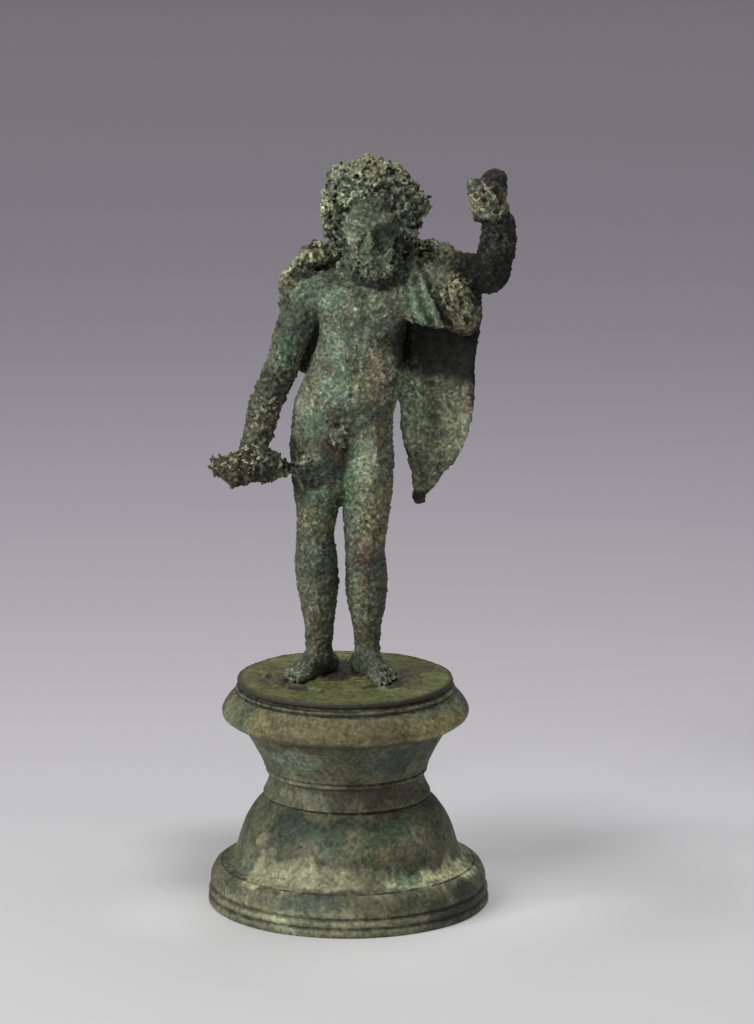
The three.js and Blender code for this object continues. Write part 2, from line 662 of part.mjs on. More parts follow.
// Takes away the edges whose loss changes the surface least, until few triangles are left.
function thinned({ positions, triangles }, wanted) {
  const points = Float64Array.from(positions);
  const faces = [];
  for (let i = 0; i < triangles.length; i += 3) faces.push(triangles.slice(i, i + 3));
  const vertexCount = points.length / 3;
  const around = Array.from({ length: vertexCount }, () => new Set());
  const point = (v) => new THREE.Vector3(points[3 * v], points[3 * v + 1], points[3 * v + 2]);
  const normalOf = (corners) => {
    const [a, b, c] = corners;
    return b.clone().sub(a).cross(c.clone().sub(a));
  };

  // Each vertex sums the squared distances to the planes of the faces that met there
  const errors = new Float64Array(10 * vertexCount);
  faces.forEach((face, f) => {
    const normal = normalOf(face.map(point));
    const area = normal.length();
    if (area > 0) normal.divideScalar(area);
    const plane = [normal.x, normal.y, normal.z, -normal.dot(point(face[0]))];
    for (const v of face) {
      around[v].add(f);
      for (let r = 0, n = 0; r < 4; r++)
        for (let c = r; c < 4; c++, n++) errors[10 * v + n] += area * plane[r] * plane[c];
    }
  });

  const versions = new Uint32Array(vertexCount);
  const heap = [];
  const swap = (i, j) => ([heap[i], heap[j]] = [heap[j], heap[i]]);
  const push = (entry) => {
    let i = heap.push(entry) - 1;
    while (i > 0 && heap[(i - 1) >> 1].cost > heap[i].cost) {
      swap(i, (i - 1) >> 1);
      i = (i - 1) >> 1;
    }
  };
  const pop = () => {
    swap(0, heap.length - 1);
    const least = heap.pop();
    for (let i = 0; ; ) {
      let small = i;
      for (const child of [2 * i + 1, 2 * i + 2])
        if (child < heap.length && heap[child].cost < heap[small].cost) small = child;
      if (small === i) return least;
      swap(i, small);
      i = small;
    }
  };
  const costAt = (q, { x, y, z }) =>
    x * (q[0] * x + 2 * (q[1] * y + q[2] * z + q[3])) +
    y * (q[4] * y + 2 * (q[5] * z + q[6])) +
    z * (q[7] * z + 2 * q[8]) +
    q[9];
  const offer = (a, b) => {
    const q = new Float64Array(10);
    for (let n = 0; n < 10; n++) q[n] = errors[10 * a + n] + errors[10 * b + n];
    const solve = new THREE.Matrix3().set(q[0], q[1], q[2], q[1], q[4], q[5], q[2], q[5], q[7]);
    const middle = point(a).add(point(b)).multiplyScalar(0.5);
    const reach = point(a).distanceTo(point(b));
    const choices = [middle, point(a), point(b)];
    if (Math.abs(solve.determinant()) > 1e-6) {
      const best = new THREE.Vector3(-q[3], -q[6], -q[8]).applyMatrix3(solve.invert());
      if (best.distanceTo(middle) < 2 * reach) choices.unshift(best);
    }
    let [place, cost] = [choices[0], Infinity];
    for (const choice of choices) {
      const c = costAt(q, choice);
      if (c < cost) [place, cost] = [choice, c];
    }
    cost += 1e-4 * reach * reach;
    push({ cost, a, b, place, stamp: versions[a] + versions[b] });
  };
  const neighbours = (v) => {
    const found = new Set();
    for (const f of around[v]) for (const w of faces[f]) if (w !== v) found.add(w);
    return found;
  };
  const keepsItsFaces = (v, other, place) => {
    for (const f of around[v]) {
      if (faces[f].includes(other)) continue;
      const before = normalOf(faces[f].map(point));
      const after = normalOf(faces[f].map((w) => (w === v ? place : point(w))));
      if (after.length() < 1e-5 || before.dot(after) < 0.35 * before.length() * after.length())
        return false;
    }
    return true;
  };

  faces.forEach((face) =>
    face.forEach((v, i) => {
      const w = face[(i + 1) % 3];
      if (v < w) offer(v, w);
    }),
  );
  let left = faces.length;
  while (left > wanted && heap.length) {
    const { a, b, place, stamp } = pop();
    if (!around[a].size || !around[b].size || versions[a] + versions[b] !== stamp) continue;
    const near = neighbours(a);
    const shared = [...neighbours(b)].filter((v) => near.has(v));
    if (!near.has(b) || shared.length !== 2) continue;
    if (!keepsItsFaces(a, b, place) || !keepsItsFaces(b, a, place)) continue;
    place.toArray(points, 3 * a);
    for (let n = 0; n < 10; n++) errors[10 * a + n] += errors[10 * b + n];
    for (const f of [...around[b]]) {
      if (faces[f].includes(a)) {
        for (const v of faces[f]) around[v].delete(f);
        left--;
      } else {
        faces[f][faces[f].indexOf(b)] = a;
        around[a].add(f);
      }
    }
    around[b].clear();
    versions[a]++;
    for (const v of neighbours(a)) versions[v]++;
    for (const v of neighbours(a))
      for (const w of neighbours(v)) if (v < w || w === a) offer(v, w);
  }
  const kept = new Set(around.flatMap((set) => [...set]));
  return { positions: [...points], triangles: [...kept].flatMap((f) => faces[f]) };
}

// Geometry to and from closed solids, for cutting
function solidFrom(geometry) {
  const bare = geometry.clone();
  bare.deleteAttribute("normal");
  bare.deleteAttribute("uv");
  const merged = mergeVertices(bare, 1e-4);
  return new wasm.Manifold(
    new wasm.Mesh({
      numProp: 3,
      vertProperties: new Float32Array(merged.attributes.position.array),
      triVerts: new Uint32Array(merged.index.array),
    }),
  );
}

function geometryFrom(solid) {
  const mesh = solid.getMesh();
  return new THREE.BufferGeometry()
    .setAttribute("position", new THREE.BufferAttribute(mesh.vertProperties, 3))
    .setIndex(new THREE.BufferAttribute(mesh.triVerts, 1));
}

// The figure's casting, its soles cut flat.
function figureGeometry() {
  const low = [-38, -17, -2];
  const high = [46, 18, FIGURE_HEIGHT + 3];
  const drawn = thinned(surfaceOf(figure(), low, high, SAMPLE_STEP), FIGURE_TRIANGLES);
  const casting = new THREE.BufferGeometry()
    .setAttribute("position", new THREE.BufferAttribute(new Float32Array(drawn.positions), 3))
    .setIndex(drawn.triangles);
  const ground = new THREE.BoxGeometry(120, 120, 20).translate(0, 0, -10);
  return geometryFrom(solidFrom(casting).subtract(solidFrom(ground)));
}

// Points on an ellipse's arc, from one angle to another in degrees.
function arc(centreRadius, centreHeight, wide, tall, from, to, steps) {
  return Array.from({ length: steps + 1 }, (_, i) => {
    const angle = THREE.MathUtils.degToRad(mix(from, to, i / steps));
    return [centreRadius + wide * Math.cos(angle), centreHeight + tall * Math.sin(angle)];
  });
}

// The pedestal's outside from the floor up, as [radius, height].
function pedestalOutside() {
  const plinth = [
    [FOOT_RADIUS, 0],
    [FOOT_RADIUS, 1.8],
    [FOOT_RADIUS - 0.6, 2.4],
    [FOOT_RADIUS - 0.2, 3.9],
    [FOOT_RADIUS - 1.2, 4.8],
  ];
  const footRoll = arc(32.4, 6.2, 3.8, 4.5, -8, 84, 3);
  const bell = new THREE.SplineCurve(
    [
      [31.6, 11.0],
      [29.4, 13.0],
      [28.4, 16.0],
      [27.2, 20.2],
      [24.8, 24.8],
      [21.4, 28.4],
    ].map(([r, z]) => new THREE.Vector2(r, z)),
  )
    .getPoints(9)
    .map((v) => v.toArray());
  const waist = [
    [21.9, 29.4],
    [20.9, 31.6],
    [WAIST_RADIUS, 34.2],
    [21.2, 35.7],
    [21.3, 37.0],
  ];
  const cavetto = [
    [24.2, 42.6],
    [26.3, 46.4],
    [27.4, 48.0],
  ];
  const torus = [
    ...arc(27.6, 51.2, TORUS_RADIUS - 27.6, 3.1, -64, 0, 3),
    ...arc(27.6, 51.2, TORUS_RADIUS - 27.6, 5.8, 24, 78, 3),
  ];
  const bead = [
    [28.5, 57.1],
    [27.4, 57.7],
    [27.2, PEDESTAL_HEIGHT],
  ];
  return [...plinth, ...footRoll, ...bell, ...waist, ...cavetto, ...torus, ...bead];
}

// The hollow under the mouldings, from the rim that carries the plate down to the floor.
function pedestalInside() {
  return [
    [24.6, PEDESTAL_HEIGHT],
    [28.0, 52.4],
    [24.8, 47.4],
    [WAIST_RADIUS - WALL, 34.6],
    [24.4, 19.6],
    [32.2, 7.4],
    [FOOT_RADIUS - WALL, 0],
  ];
}

function pedestalGeometry() {
  const profile = [...pedestalOutside(), ...pedestalInside()];
  const closed = [...profile, profile[0]].map(([r, z]) => new THREE.Vector2(r, z));
  const sideways = PEDESTAL_LEAN / PEDESTAL_HEIGHT;
  const lean = new THREE.Matrix4().makeShear(0, 0, 0, 0, sideways, 0);
  return new THREE.LatheGeometry(closed, ROUND_SEGMENTS).rotateX(Math.PI / 2).applyMatrix4(lean);
}

function plateGeometry() {
  const chamfer = 0.35;
  const profile = [
    [0, 0],
    [PLATE_RADIUS, 0],
    [PLATE_RADIUS, PLATE_THICKNESS - chamfer],
    [PLATE_RADIUS - chamfer, PLATE_THICKNESS],
    [0, PLATE_THICKNESS],
  ].map(([r, z]) => new THREE.Vector2(r, z));
  return new THREE.LatheGeometry(profile, ROUND_SEGMENTS).rotateX(Math.PI / 2);
}

function bronze(colour, roughness) {
  return new THREE.MeshStandardMaterial({ color: colour, roughness, metalness: 0.35 });
}

function named(name, geometry, material, x, z) {
  const mesh = new THREE.Mesh(geometry, material);
  mesh.name = name;
  mesh.position.set(x, 0, z);
  return mesh;
}

const statuette = new THREE.Group();
statuette.position.x = AXIS_X;
statuette.add(
  named("pedestal", pedestalGeometry(), bronze(0x59604a, 0.72), 0, 0),
  named("top_plate", plateGeometry(), bronze(0x5a6240, 0.78), PEDESTAL_LEAN, PEDESTAL_HEIGHT),
  named("figure", figureGeometry(), bronze(0x4c5a4a, 0.8), 0, STAND_HEIGHT),
);

export default statuette;
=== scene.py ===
"""Dresses a small corroded bronze statuette on its turned pedestal, in a pale studio.

Lengths in the tables below are millimetres. The figure's own places are measured from the
pedestal's axis and from the top of the plate that it stands on, with +Z up and -Y ahead of it.
"Right" and "left" in names are the figure's own right and left.
"""
import json
import math

import bpy
import numpy as np
from bpy.props import FloatProperty, FloatVectorProperty, IntProperty, PointerProperty
from mathutils import Euler, Matrix, Vector, noise
from mathutils.bvhtree import BVHTree

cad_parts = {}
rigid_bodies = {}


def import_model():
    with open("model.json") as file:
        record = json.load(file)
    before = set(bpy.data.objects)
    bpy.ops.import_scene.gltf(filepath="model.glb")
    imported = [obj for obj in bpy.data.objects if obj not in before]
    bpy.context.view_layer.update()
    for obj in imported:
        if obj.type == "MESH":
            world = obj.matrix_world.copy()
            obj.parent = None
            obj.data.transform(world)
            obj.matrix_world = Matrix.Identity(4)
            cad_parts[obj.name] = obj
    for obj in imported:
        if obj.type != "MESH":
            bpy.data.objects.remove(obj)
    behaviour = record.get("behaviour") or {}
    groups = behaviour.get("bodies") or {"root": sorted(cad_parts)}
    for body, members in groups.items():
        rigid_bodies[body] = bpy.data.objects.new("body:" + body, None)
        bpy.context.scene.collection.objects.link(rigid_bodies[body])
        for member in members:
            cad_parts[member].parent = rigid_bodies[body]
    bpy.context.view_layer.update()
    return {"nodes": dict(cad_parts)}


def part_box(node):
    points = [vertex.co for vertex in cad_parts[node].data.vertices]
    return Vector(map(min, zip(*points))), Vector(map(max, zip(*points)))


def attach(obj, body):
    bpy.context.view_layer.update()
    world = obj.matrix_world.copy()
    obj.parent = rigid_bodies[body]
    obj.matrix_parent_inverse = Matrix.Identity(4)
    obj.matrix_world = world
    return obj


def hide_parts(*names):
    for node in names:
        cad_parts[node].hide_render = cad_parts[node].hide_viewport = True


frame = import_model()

bl_info = {
    "name": "Bronze Statuette",
    "version": (1, 0, 0),
    "blender": (4, 5, 0),
    "location": "3D View > Sidebar > Statuette",
    "description": "Models a corroded bronze statuette, its plate and its pedestal on a frame",
    "category": "Add Mesh",
}

MM = 0.001
WEIGHT_STEPS = 50
PEDESTAL_LOW, PEDESTAL_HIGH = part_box("pedestal")
PLATE_LOW, PLATE_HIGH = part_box("top_plate")
FOOT_RADIUS = (PEDESTAL_HIGH.y - PEDESTAL_LOW.y) / 2
AXIS_X = PEDESTAL_LOW.x + FOOT_RADIUS
PLATE_AXIS_X = (PLATE_LOW.x + PLATE_HIGH.x) / 2
FIGURE_PLACE = np.array([AXIS_X, 0.0, PLATE_HIGH.z])

HEAD_CENTRE = (6.2, -2.6, 121.2)
HEAD_TURN_DEG = (22, 0, -4)


# Selection, modifiers and mesh access


def deselect_all():
    for other in bpy.context.view_layer.objects:
        other.select_set(False)


def select_only(obj):
    """Leaves this object alone selected and active."""
    deselect_all()
    obj.select_set(True)
    bpy.context.view_layer.objects.active = obj


def modify(obj, kind, **settings):
    """Adds a modifier, sets it up and applies it."""
    select_only(obj)
    modifier = obj.modifiers.new(kind.title(), kind)
    for key, value in settings.items():
        setattr(modifier, key, value)
    bpy.ops.object.modifier_apply(modifier=modifier.name)


def read_rows(items, field, width, kind=float):
    """One field of all vertices or edges, as the rows of an array."""
    flat = np.empty(width * len(items), kind)
    items.foreach_get(field, flat)
    return flat.reshape(-1, width)


def points_of(obj):
    """Where the mesh's vertices are, in metres."""
    return read_rows(obj.data.vertices, "co", 3)


def move_points(obj, points):
    obj.data.vertices.foreach_set("co", points.ravel())
    obj.data.update()


def normals_of(obj):
    return read_rows(obj.data.vertex_normals, "vector", 3)


def edges_of(obj):
    return read_rows(obj.data.edges, "vertices", 2, int)


def faces_of(obj):
    return [list(p.vertices) for p in obj.data.polygons]


def figure_mm(obj):
    """Where the vertices are, in the figure's own millimetres."""
    return (points_of(obj) - FIGURE_PLACE) / MM


def store(obj, name, values):
    """Keeps one number for each vertex, for the materials to read."""
    attribute = obj.data.attributes.new(name, "FLOAT", "POINT")
    attribute.data.foreach_set("value", np.clip(values, 0, 1).astype(np.float32))


def weigh(obj, name, weights):
    """Makes a vertex group from one weight for each vertex, in a limited number of steps."""
    group = obj.vertex_groups.new(name=name)
    steps = np.round(np.clip(weights, 0, 1) * WEIGHT_STEPS).astype(int)
    for step in np.unique(steps):
        group.add(np.flatnonzero(steps == step).tolist(), step / WEIGHT_STEPS, "REPLACE")


def soften(obj, iterations, factor=0.5, group=""):
    modify(obj, "SMOOTH", factor=factor, iterations=iterations, vertex_group=group)


def joined(first, others):
    """Makes one object of several. The first keeps its name."""
    select_only(first)
    for other in others:
        other.select_set(True)
    bpy.ops.object.join()
    return first


def weld(obj, threshold, turn_outward=False):
    """Merges vertices that are nearer to each other than the threshold."""
    select_only(obj)
    bpy.ops.object.mode_set(mode="EDIT")
    bpy.ops.mesh.select_all(action="SELECT")
    bpy.ops.mesh.remove_doubles(threshold=threshold)
    if turn_outward:
        bpy.ops.mesh.normals_make_consistent(inside=False)
    bpy.ops.object.mode_set(mode="OBJECT")


def dressed(obj, material):
    """Gives a finished piece smooth shading and its material."""
    select_only(obj)
    bpy.ops.object.shade_smooth()
    obj.data.materials.append(material)
    return obj


def new_object(name, points, faces):
    mesh = bpy.data.meshes.new(name)
    mesh.from_pydata(points.tolist(), [], faces)
    obj = bpy.data.objects.new(name, mesh)
    bpy.context.scene.collection.objects.link(obj)
    return obj


def many_copies(name, faces, copies):
    """One object of copies of a shape. Each has the same faces on its own points, in figure_mm."""
    count = len(copies[0])
    all_faces = [[v + i * count for v in face] for i in range(len(copies)) for face in faces]
    return new_object(name, np.vstack(copies) * MM + FIGURE_PLACE, all_faces)


def copy_of_node(node, name):
    """A copy of a frame node with its loose triangles merged."""
    obj = frame["nodes"][node].copy()
    obj.data = obj.data.copy()
    obj.name = obj.data.name = name
    obj.parent = None
    for key in list(obj.keys()):
        del obj[key]
    bpy.context.scene.collection.objects.link(obj)
    obj.data.materials.clear()
    weld(obj, 1e-6)
    return obj


# Number help

ROLLING_SEED = 7


def ease(value, low, high):
    """Rises smoothly from 0 at low to 1 at high."""
    t = np.clip((value - low) / (high - low), 0, 1)
    return t * t * (3 - 2 * t)


def grain(points, size, octaves=3, shift=0.0):
    """Smooth random numbers of about -1 to 1 at each point, in lumps of about the size."""
    offset = np.array([17.3, 5.1, 9.7]) * (1 + shift)
    scaled = points / size + offset
    return np.array([noise.fractal(Vector(p), 1.0, 2.0, octaves) for p in scaled])


def rolling(points, size, shift=0.0):
    """A smooth random direction at each point. The seed keeps it the same in each run."""
    noise.seed_set(ROLLING_SEED)
    scaled = points / size + 31.7 * (1 + shift)
    return np.array([noise.noise_vector(Vector(p)) for p in scaled])


def from_path(points, path, reach):
    """Each point's distance to a path or to a single place, no more than the reach."""
    away = np.full(len(points), float(reach))
    path = np.atleast_2d(np.asarray(path, float))
    if len(path) == 1:
        path = np.repeat(path, 2, axis=0)
    low, high = path.min(0) - reach, path.max(0) + reach
    near = np.flatnonzero(((points > low) & (points < high)).all(1))
    p = points[near]
    best = away[near]
    for a, b in zip(path[:-1], path[1:]):
        ab = b - a
        t = np.clip((p - a) @ ab / max(ab @ ab, 1e-12), 0, 1)
        best = np.minimum(best, np.linalg.norm(p - a - t[:, None] * ab, axis=1))
    away[near] = best
    return away


def patches(points, table):
    """Soft patches laid over each other: each is a path, a radius and a strength."""
    total = np.zeros(len(points))
    for path, radius, strength in table:
        away = from_path(points, path, radius)
        total = np.maximum(total, strength * ease(-away / radius, -1, -0.55))
    return total


def store_patches(obj, points, tables):
    for name, table in tables.items():
        store(obj, name, patches(points, table))


# Figure: rough clay forms that are fused with the casting

HEAD_MATRIX = Matrix.Translation(HEAD_CENTRE) @ Euler(
    [math.radians(a) for a in HEAD_TURN_DEG]
).to_matrix().to_4x4()
HAIR_DEPTH = 0.8  # the curls stand in place of this much of the casting's hair
CURL_TURNS = 1.15
NECK_Z = -11.0  # where the hair ends at the nape, from the head's middle


def in_head(points):
    """The figure's millimetres as the head's own, from the middle of the skull."""
    back = np.array(HEAD_MATRIX.inverted())
    return points @ back[:3, :3].T + back[:3, 3]


def out_of_head(local):
    ahead = np.array(HEAD_MATRIX)
    return local @ ahead[:3, :3].T + ahead[:3, 3]


# Ovals seen from the front, each with its middle and its radii as (across, up). The beard's is in
# the figure's millimetres, and the others are in the head's own.
FACE_OVAL = ((0, 0.9), (7.7, 8.4))
MOUTH_OVAL = ((0, -4.7), (2.9, 1.9))
TEMPLE_OVAL = ((7.2, 0.8), (2.6, 6))
BEARD_OVAL = ((7, 114.6), (9.6, 9.6))
JAW_HALF_WIDTH = 9.5


def from_oval(across, up, oval):
    """How far each point lies from the oval's middle, where 1 is on the oval."""
    middle, radii = oval
    return np.hypot((across - middle[0]) / radii[0], (up - middle[1]) / radii[1])


def face_opening(local):
    """From 0 outside the face to 1 well inside it, for points about the head."""
    inside = ease(-from_oval(local[:, 0], local[:, 2], FACE_OVAL), -1.06, -0.86)
    return inside * ease(-local[:, 1], 2.6, 4.2)


def beard_area(local):
    """1 on the jaw under the cheeks and 0 elsewhere, with an opening for the mouth."""
    below = ease(-local[:, 2], 3.8, 5.2) * ease(-local[:, 1], -0.5, 1.0)
    beside_mouth = from_oval(local[:, 0], local[:, 2], MOUTH_OVAL) > 1
    return below * (np.abs(local[:, 0]) < JAW_HALF_WIDTH) * beside_mouth


HAIR_SWELLS = (  # middle in the head's own millimetres, radius, swell
    ((-8.5, 1, 11.5), 6.5, 2.6),
    ((0, -8.5, -9), 5.5, 1.8),
    ((4.5, -6.5, -9), 5, 1),
    ((12.5, 0, 5.5), 6, 1.3),
    ((9, -3, 9), 5.5, 0.8),
    ((-3, -6, 11), 6, 0.6),
    ((-12, 0, 1.5), 5.5, -0.6),
)
TEMPLE_DEPTH = -5.3  # how far ahead of the skull's middle the temples are filled out


def fill_temples(local):
    """Brings the pits between the cheeks and the hair forward."""
    across = from_oval(np.abs(local[:, 0]), local[:, 2], TEMPLE_OVAL)
    fill = ease(-across, -1.0, -0.55) * (local[:, 1] < 2.0)
    local[:, 1] -= fill * np.maximum(local[:, 1] - TEMPLE_DEPTH, 0)


HEAD_REACH = 17.5  # from the middle of the skull to just outside the hair
SIDE_DRAW_DEG, TOP_DRAW_DEG = 13.0, 5.0  # how far the fringe is drawn back from the face


def open_face(obj):
    """Draws the fringe and the temples back from the face, and thins the hair for the curls."""
    points, normals = figure_mm(obj), normals_of(obj)
    local = in_head(points)
    distance = np.linalg.norm(local, axis=1)
    around = np.hypot(local[:, 0], local[:, 2])
    angle = np.degrees(np.arctan2(around, -local[:, 1]))
    upward = local[:, 2] / np.maximum(around, 0.1)
    draw = SIDE_DRAW_DEG * ease(upward, -0.45, 0.0) + TOP_DRAW_DEG * ease(upward, 0.2, 0.9)
    new_angle = np.radians(angle + draw * ease(angle, 27, 42) * (1 - ease(angle, 46, 112)))
    on_head = (distance < HEAD_REACH) & (local[:, 2] > -3)
    spread = distance * np.sin(new_angle) / np.maximum(around, 0.1)
    drawn = np.stack([local[:, 0] * spread, -distance * np.cos(new_angle), local[:, 2] * spread], 1)
    local[on_head] = drawn[on_head]
    fill_temples(local)
    points = out_of_head(local)
    hair = ease(-distance, -HEAD_REACH, 1 - HEAD_REACH) * (1 - face_opening(local))
    hair *= ease(local[:, 2], -12, -9)
    swell = np.zeros(len(points))
    for middle, radius, height in HAIR_SWELLS:
        away = np.linalg.norm(local - middle, axis=1)
        swell += height * ease(-away / radius, -1, 0)
    points += normals * ((swell - HAIR_DEPTH) * hair)[:, None]
    move_points(obj, points * MM + FIGURE_PLACE)


def curl_shape():
    """One snail curl: a tube on a closing spiral, modelled once at the world's centre."""
    bpy.ops.mesh.primitive_torus_add(
        major_segments=14, minor_segments=6, major_radius=1.0, minor_radius=0.5
    )
    curl = bpy.context.object
    points = points_of(curl)
    share = (np.arctan2(points[:, 1], points[:, 0]) + math.pi) / (2 * math.pi)
    points[:, :2] *= (1 - 0.3 * share * CURL_TURNS)[:, None]
    points[:, 2] += 0.5 * (share - 0.5)
    move_points(curl, points)
    return curl


def spread_places(points, normals, spacing, random):
    """A random choice of the points, none nearer to another than the spacing."""
    order = random.permutation(len(points))
    chosen = np.full((len(points), 3), np.inf)
    kept = []
    for i in order:
        gaps = chosen[: len(kept)] - points[i]
        if not kept or (gaps * gaps).sum(1).min() > spacing**2:
            chosen[len(kept)] = points[i]
            kept.append(i)
    return points[kept], normals[kept]


def scatter(name, source, places, normals, size, tilt, random):
    """Copies of a small shape stood on a surface, each turned and sized at random."""
    shape = points_of(source)
    copies = []
    for place, normal in zip(places, normals):
        lean = Vector(normal) + tilt * Vector(random.normal(size=3))
        turn = lean.to_track_quat("Z", "Y").to_matrix()
        spin = Matrix.Rotation(random.uniform(0, 2 * math.pi), 3, "Z")
        scale = size * random.uniform(0.82, 1.22)
        copies.append(shape * scale @ np.array(turn @ spin).T + place)
    return many_copies(name, faces_of(source), copies)


CURLS = (  # name, area, spacing, size, lift off the skin and tilt
    ("hair_curls", "scalp", 1.8, 0.8, 0.5, 0.5),
    ("loose_curls", "scalp", 3.4, 0.86, 0.7, 0.8),
    ("beard_curls", "beard", 1.8, 0.8, 0.4, 0.6),
)


def hair_and_beard(casting, random):
    """Snail curls over the scalp and the beard, and some that stand out of them."""
    points, normals = figure_mm(casting), normals_of(casting)
    local = in_head(points)
    on_head = (np.linalg.norm(local * [1, 1, 0.8], axis=1) < 17) & (local[:, 2] > -16.5)
    in_oval = from_oval(points[:, 0], points[:, 2], BEARD_OVAL) < 1
    beard = on_head & (beard_area(local) > 0.5) & in_oval
    scalp = on_head & ~beard & (face_opening(local) < 0.05) & (local[:, 2] > NECK_Z)
    areas = {"scalp": scalp, "beard": beard}
    curl = curl_shape()
    made = []
    for name, area, spacing, size, lift, tilt in CURLS:
        there = areas[area]
        places, facing = spread_places(points[there], normals[there], spacing, random)
        made.append(scatter(name, curl, places + facing * lift, facing, size, tilt, random))
    bpy.data.objects.remove(curl)
    return made


FLAME_BUDS = (  # grip end, widest place, point, girth
    ((-25.4, -7.2, 57), (-29.8, -7.2, 56.7), (-34.6, -7, 58.7), 4.3),
    ((-23.6, -7, 57.4), (-19.8, -6.6, 57.6), (-14.6, -5, 56.6), 4.2),
)


FLAME_RINGS = 6
FLAMES_IN_RING = 7


def flame_petals(random):
    """Small leaf-like flames that wind round both ends of the thunderbolt."""
    bpy.ops.mesh.primitive_ico_sphere_add(subdivisions=2, radius=1.0)
    leaf = bpy.context.object
    shape = points_of(leaf) * [0.72, 0.55, 1.6]
    shape[:, 0] *= 1 - 0.35 * shape[:, 2] / 1.75
    faces = faces_of(leaf)
    bpy.data.objects.remove(leaf)
    copies = []
    for grip, swell, tip, girth in FLAME_BUDS:
        grip, swell, tip = (Vector(v) for v in (grip, swell, tip))
        ahead = (tip - grip).normalized()
        for ring in range(FLAME_RINGS):
            share = ring / (FLAME_RINGS - 1)
            middle = grip.lerp(swell, share * 2) if share < 0.5 else swell.lerp(tip, share * 2 - 1)
            radius = girth * (0.72 + 0.26 * math.sin(math.pi * min(share * 1.5, 1)))
            radius *= 1 - 0.6 * max(share - 0.5, 0) * 2
            for i in range(FLAMES_IN_RING):
                angle = 2 * math.pi * (i + 0.5 * (ring % 2)) / FLAMES_IN_RING + 0.4 * ring
                out = Vector((0, math.cos(angle), math.sin(angle)))
                out = (out - ahead * out.dot(ahead)).normalized()
                lean = (ahead + 0.7 * out + 0.4 * Vector(random.normal(size=3))).normalized()
                turn = np.array(lean.to_track_quat("Z", "Y").to_matrix())
                place = np.array(middle + out * radius * random.uniform(0.66, 1.02))
                copies.append(shape * random.uniform(0.8, 1.15) @ turn.T + place)
    return many_copies("flame_petals", faces, copies)


SWELLINGS = (  # middle and radii of round forms fused with the casting
    ((37.9, -3.4, 131.6), (2.9, 2.8, 2.6)),
    ((18.4, 4.6, 47.2), (1.8, 1.7, 1.8)),
    ((-31.4, -7.2, 57.5), (3.8, 3, 3.1)),
    ((31.9, -4.6, 130.2), (1.7, 1.6, 1.7)),
)


def swellings():
    made = []
    for middle, radii in SWELLINGS:
        place = Vector(middle) * MM + Vector(FIGURE_PLACE)
        bpy.ops.mesh.primitive_uv_sphere_add(segments=24, ring_count=12, radius=MM, location=place)
        ball = bpy.context.object
        ball.scale = radii
        bpy.ops.object.transform_apply(location=True, rotation=True, scale=True)
        made.append(ball)
    return made


# Figure: strokes carved into or raised from the skin. Each has its path as (across, up) in the
# view that it is drawn in, its width and its height, below zero for a groove.

FRONT = Matrix.Identity(4)
BACK = Matrix.Rotation(math.pi, 4, "Z")
TOP = Matrix.Rotation(-math.pi / 2, 4, "X")
HEAD = HEAD_MATRIX


def toe_grooves(middle, ahead, outward):
    """Grooves between the toes of a foot, seen from above. The big toe is the widest."""
    middle, ahead, outward = (np.array(v, float) for v in (middle, ahead, outward))
    strokes = []
    for i, aside in enumerate((-0.7, 0.6, 1.7, 2.6)):
        start = middle + outward * aside - ahead * (1.4 + 0.3 * i)
        end = middle + outward * (aside + 0.2) + ahead * (3.2 - 0.6 * i)
        strokes.append(((tuple(start), tuple(end)), 0.75, -1.1))
    return strokes


def curl_ring(across, up, radius):
    """The stroke of one raised ring-shaped curl, seen from the front."""
    turns = [math.radians(a) for a in range(0, 361, 45)]
    path = tuple((across + radius * math.cos(a), up + radius * math.sin(a)) for a in turns)
    return (path, 0.6, 0.8)


def toe_gaps(places):
    """Gaps between the toes of a foot, seen from the front."""
    return [(((x, 2.9), (x, 0.3)), 0.6, -1.1) for x in places]


def both_sides(path, width, height):
    """A stroke of the face on its right side and then on its left."""
    return [(tuple((side * a, b) for a, b in path), width, height) for side in (-1, 1)]


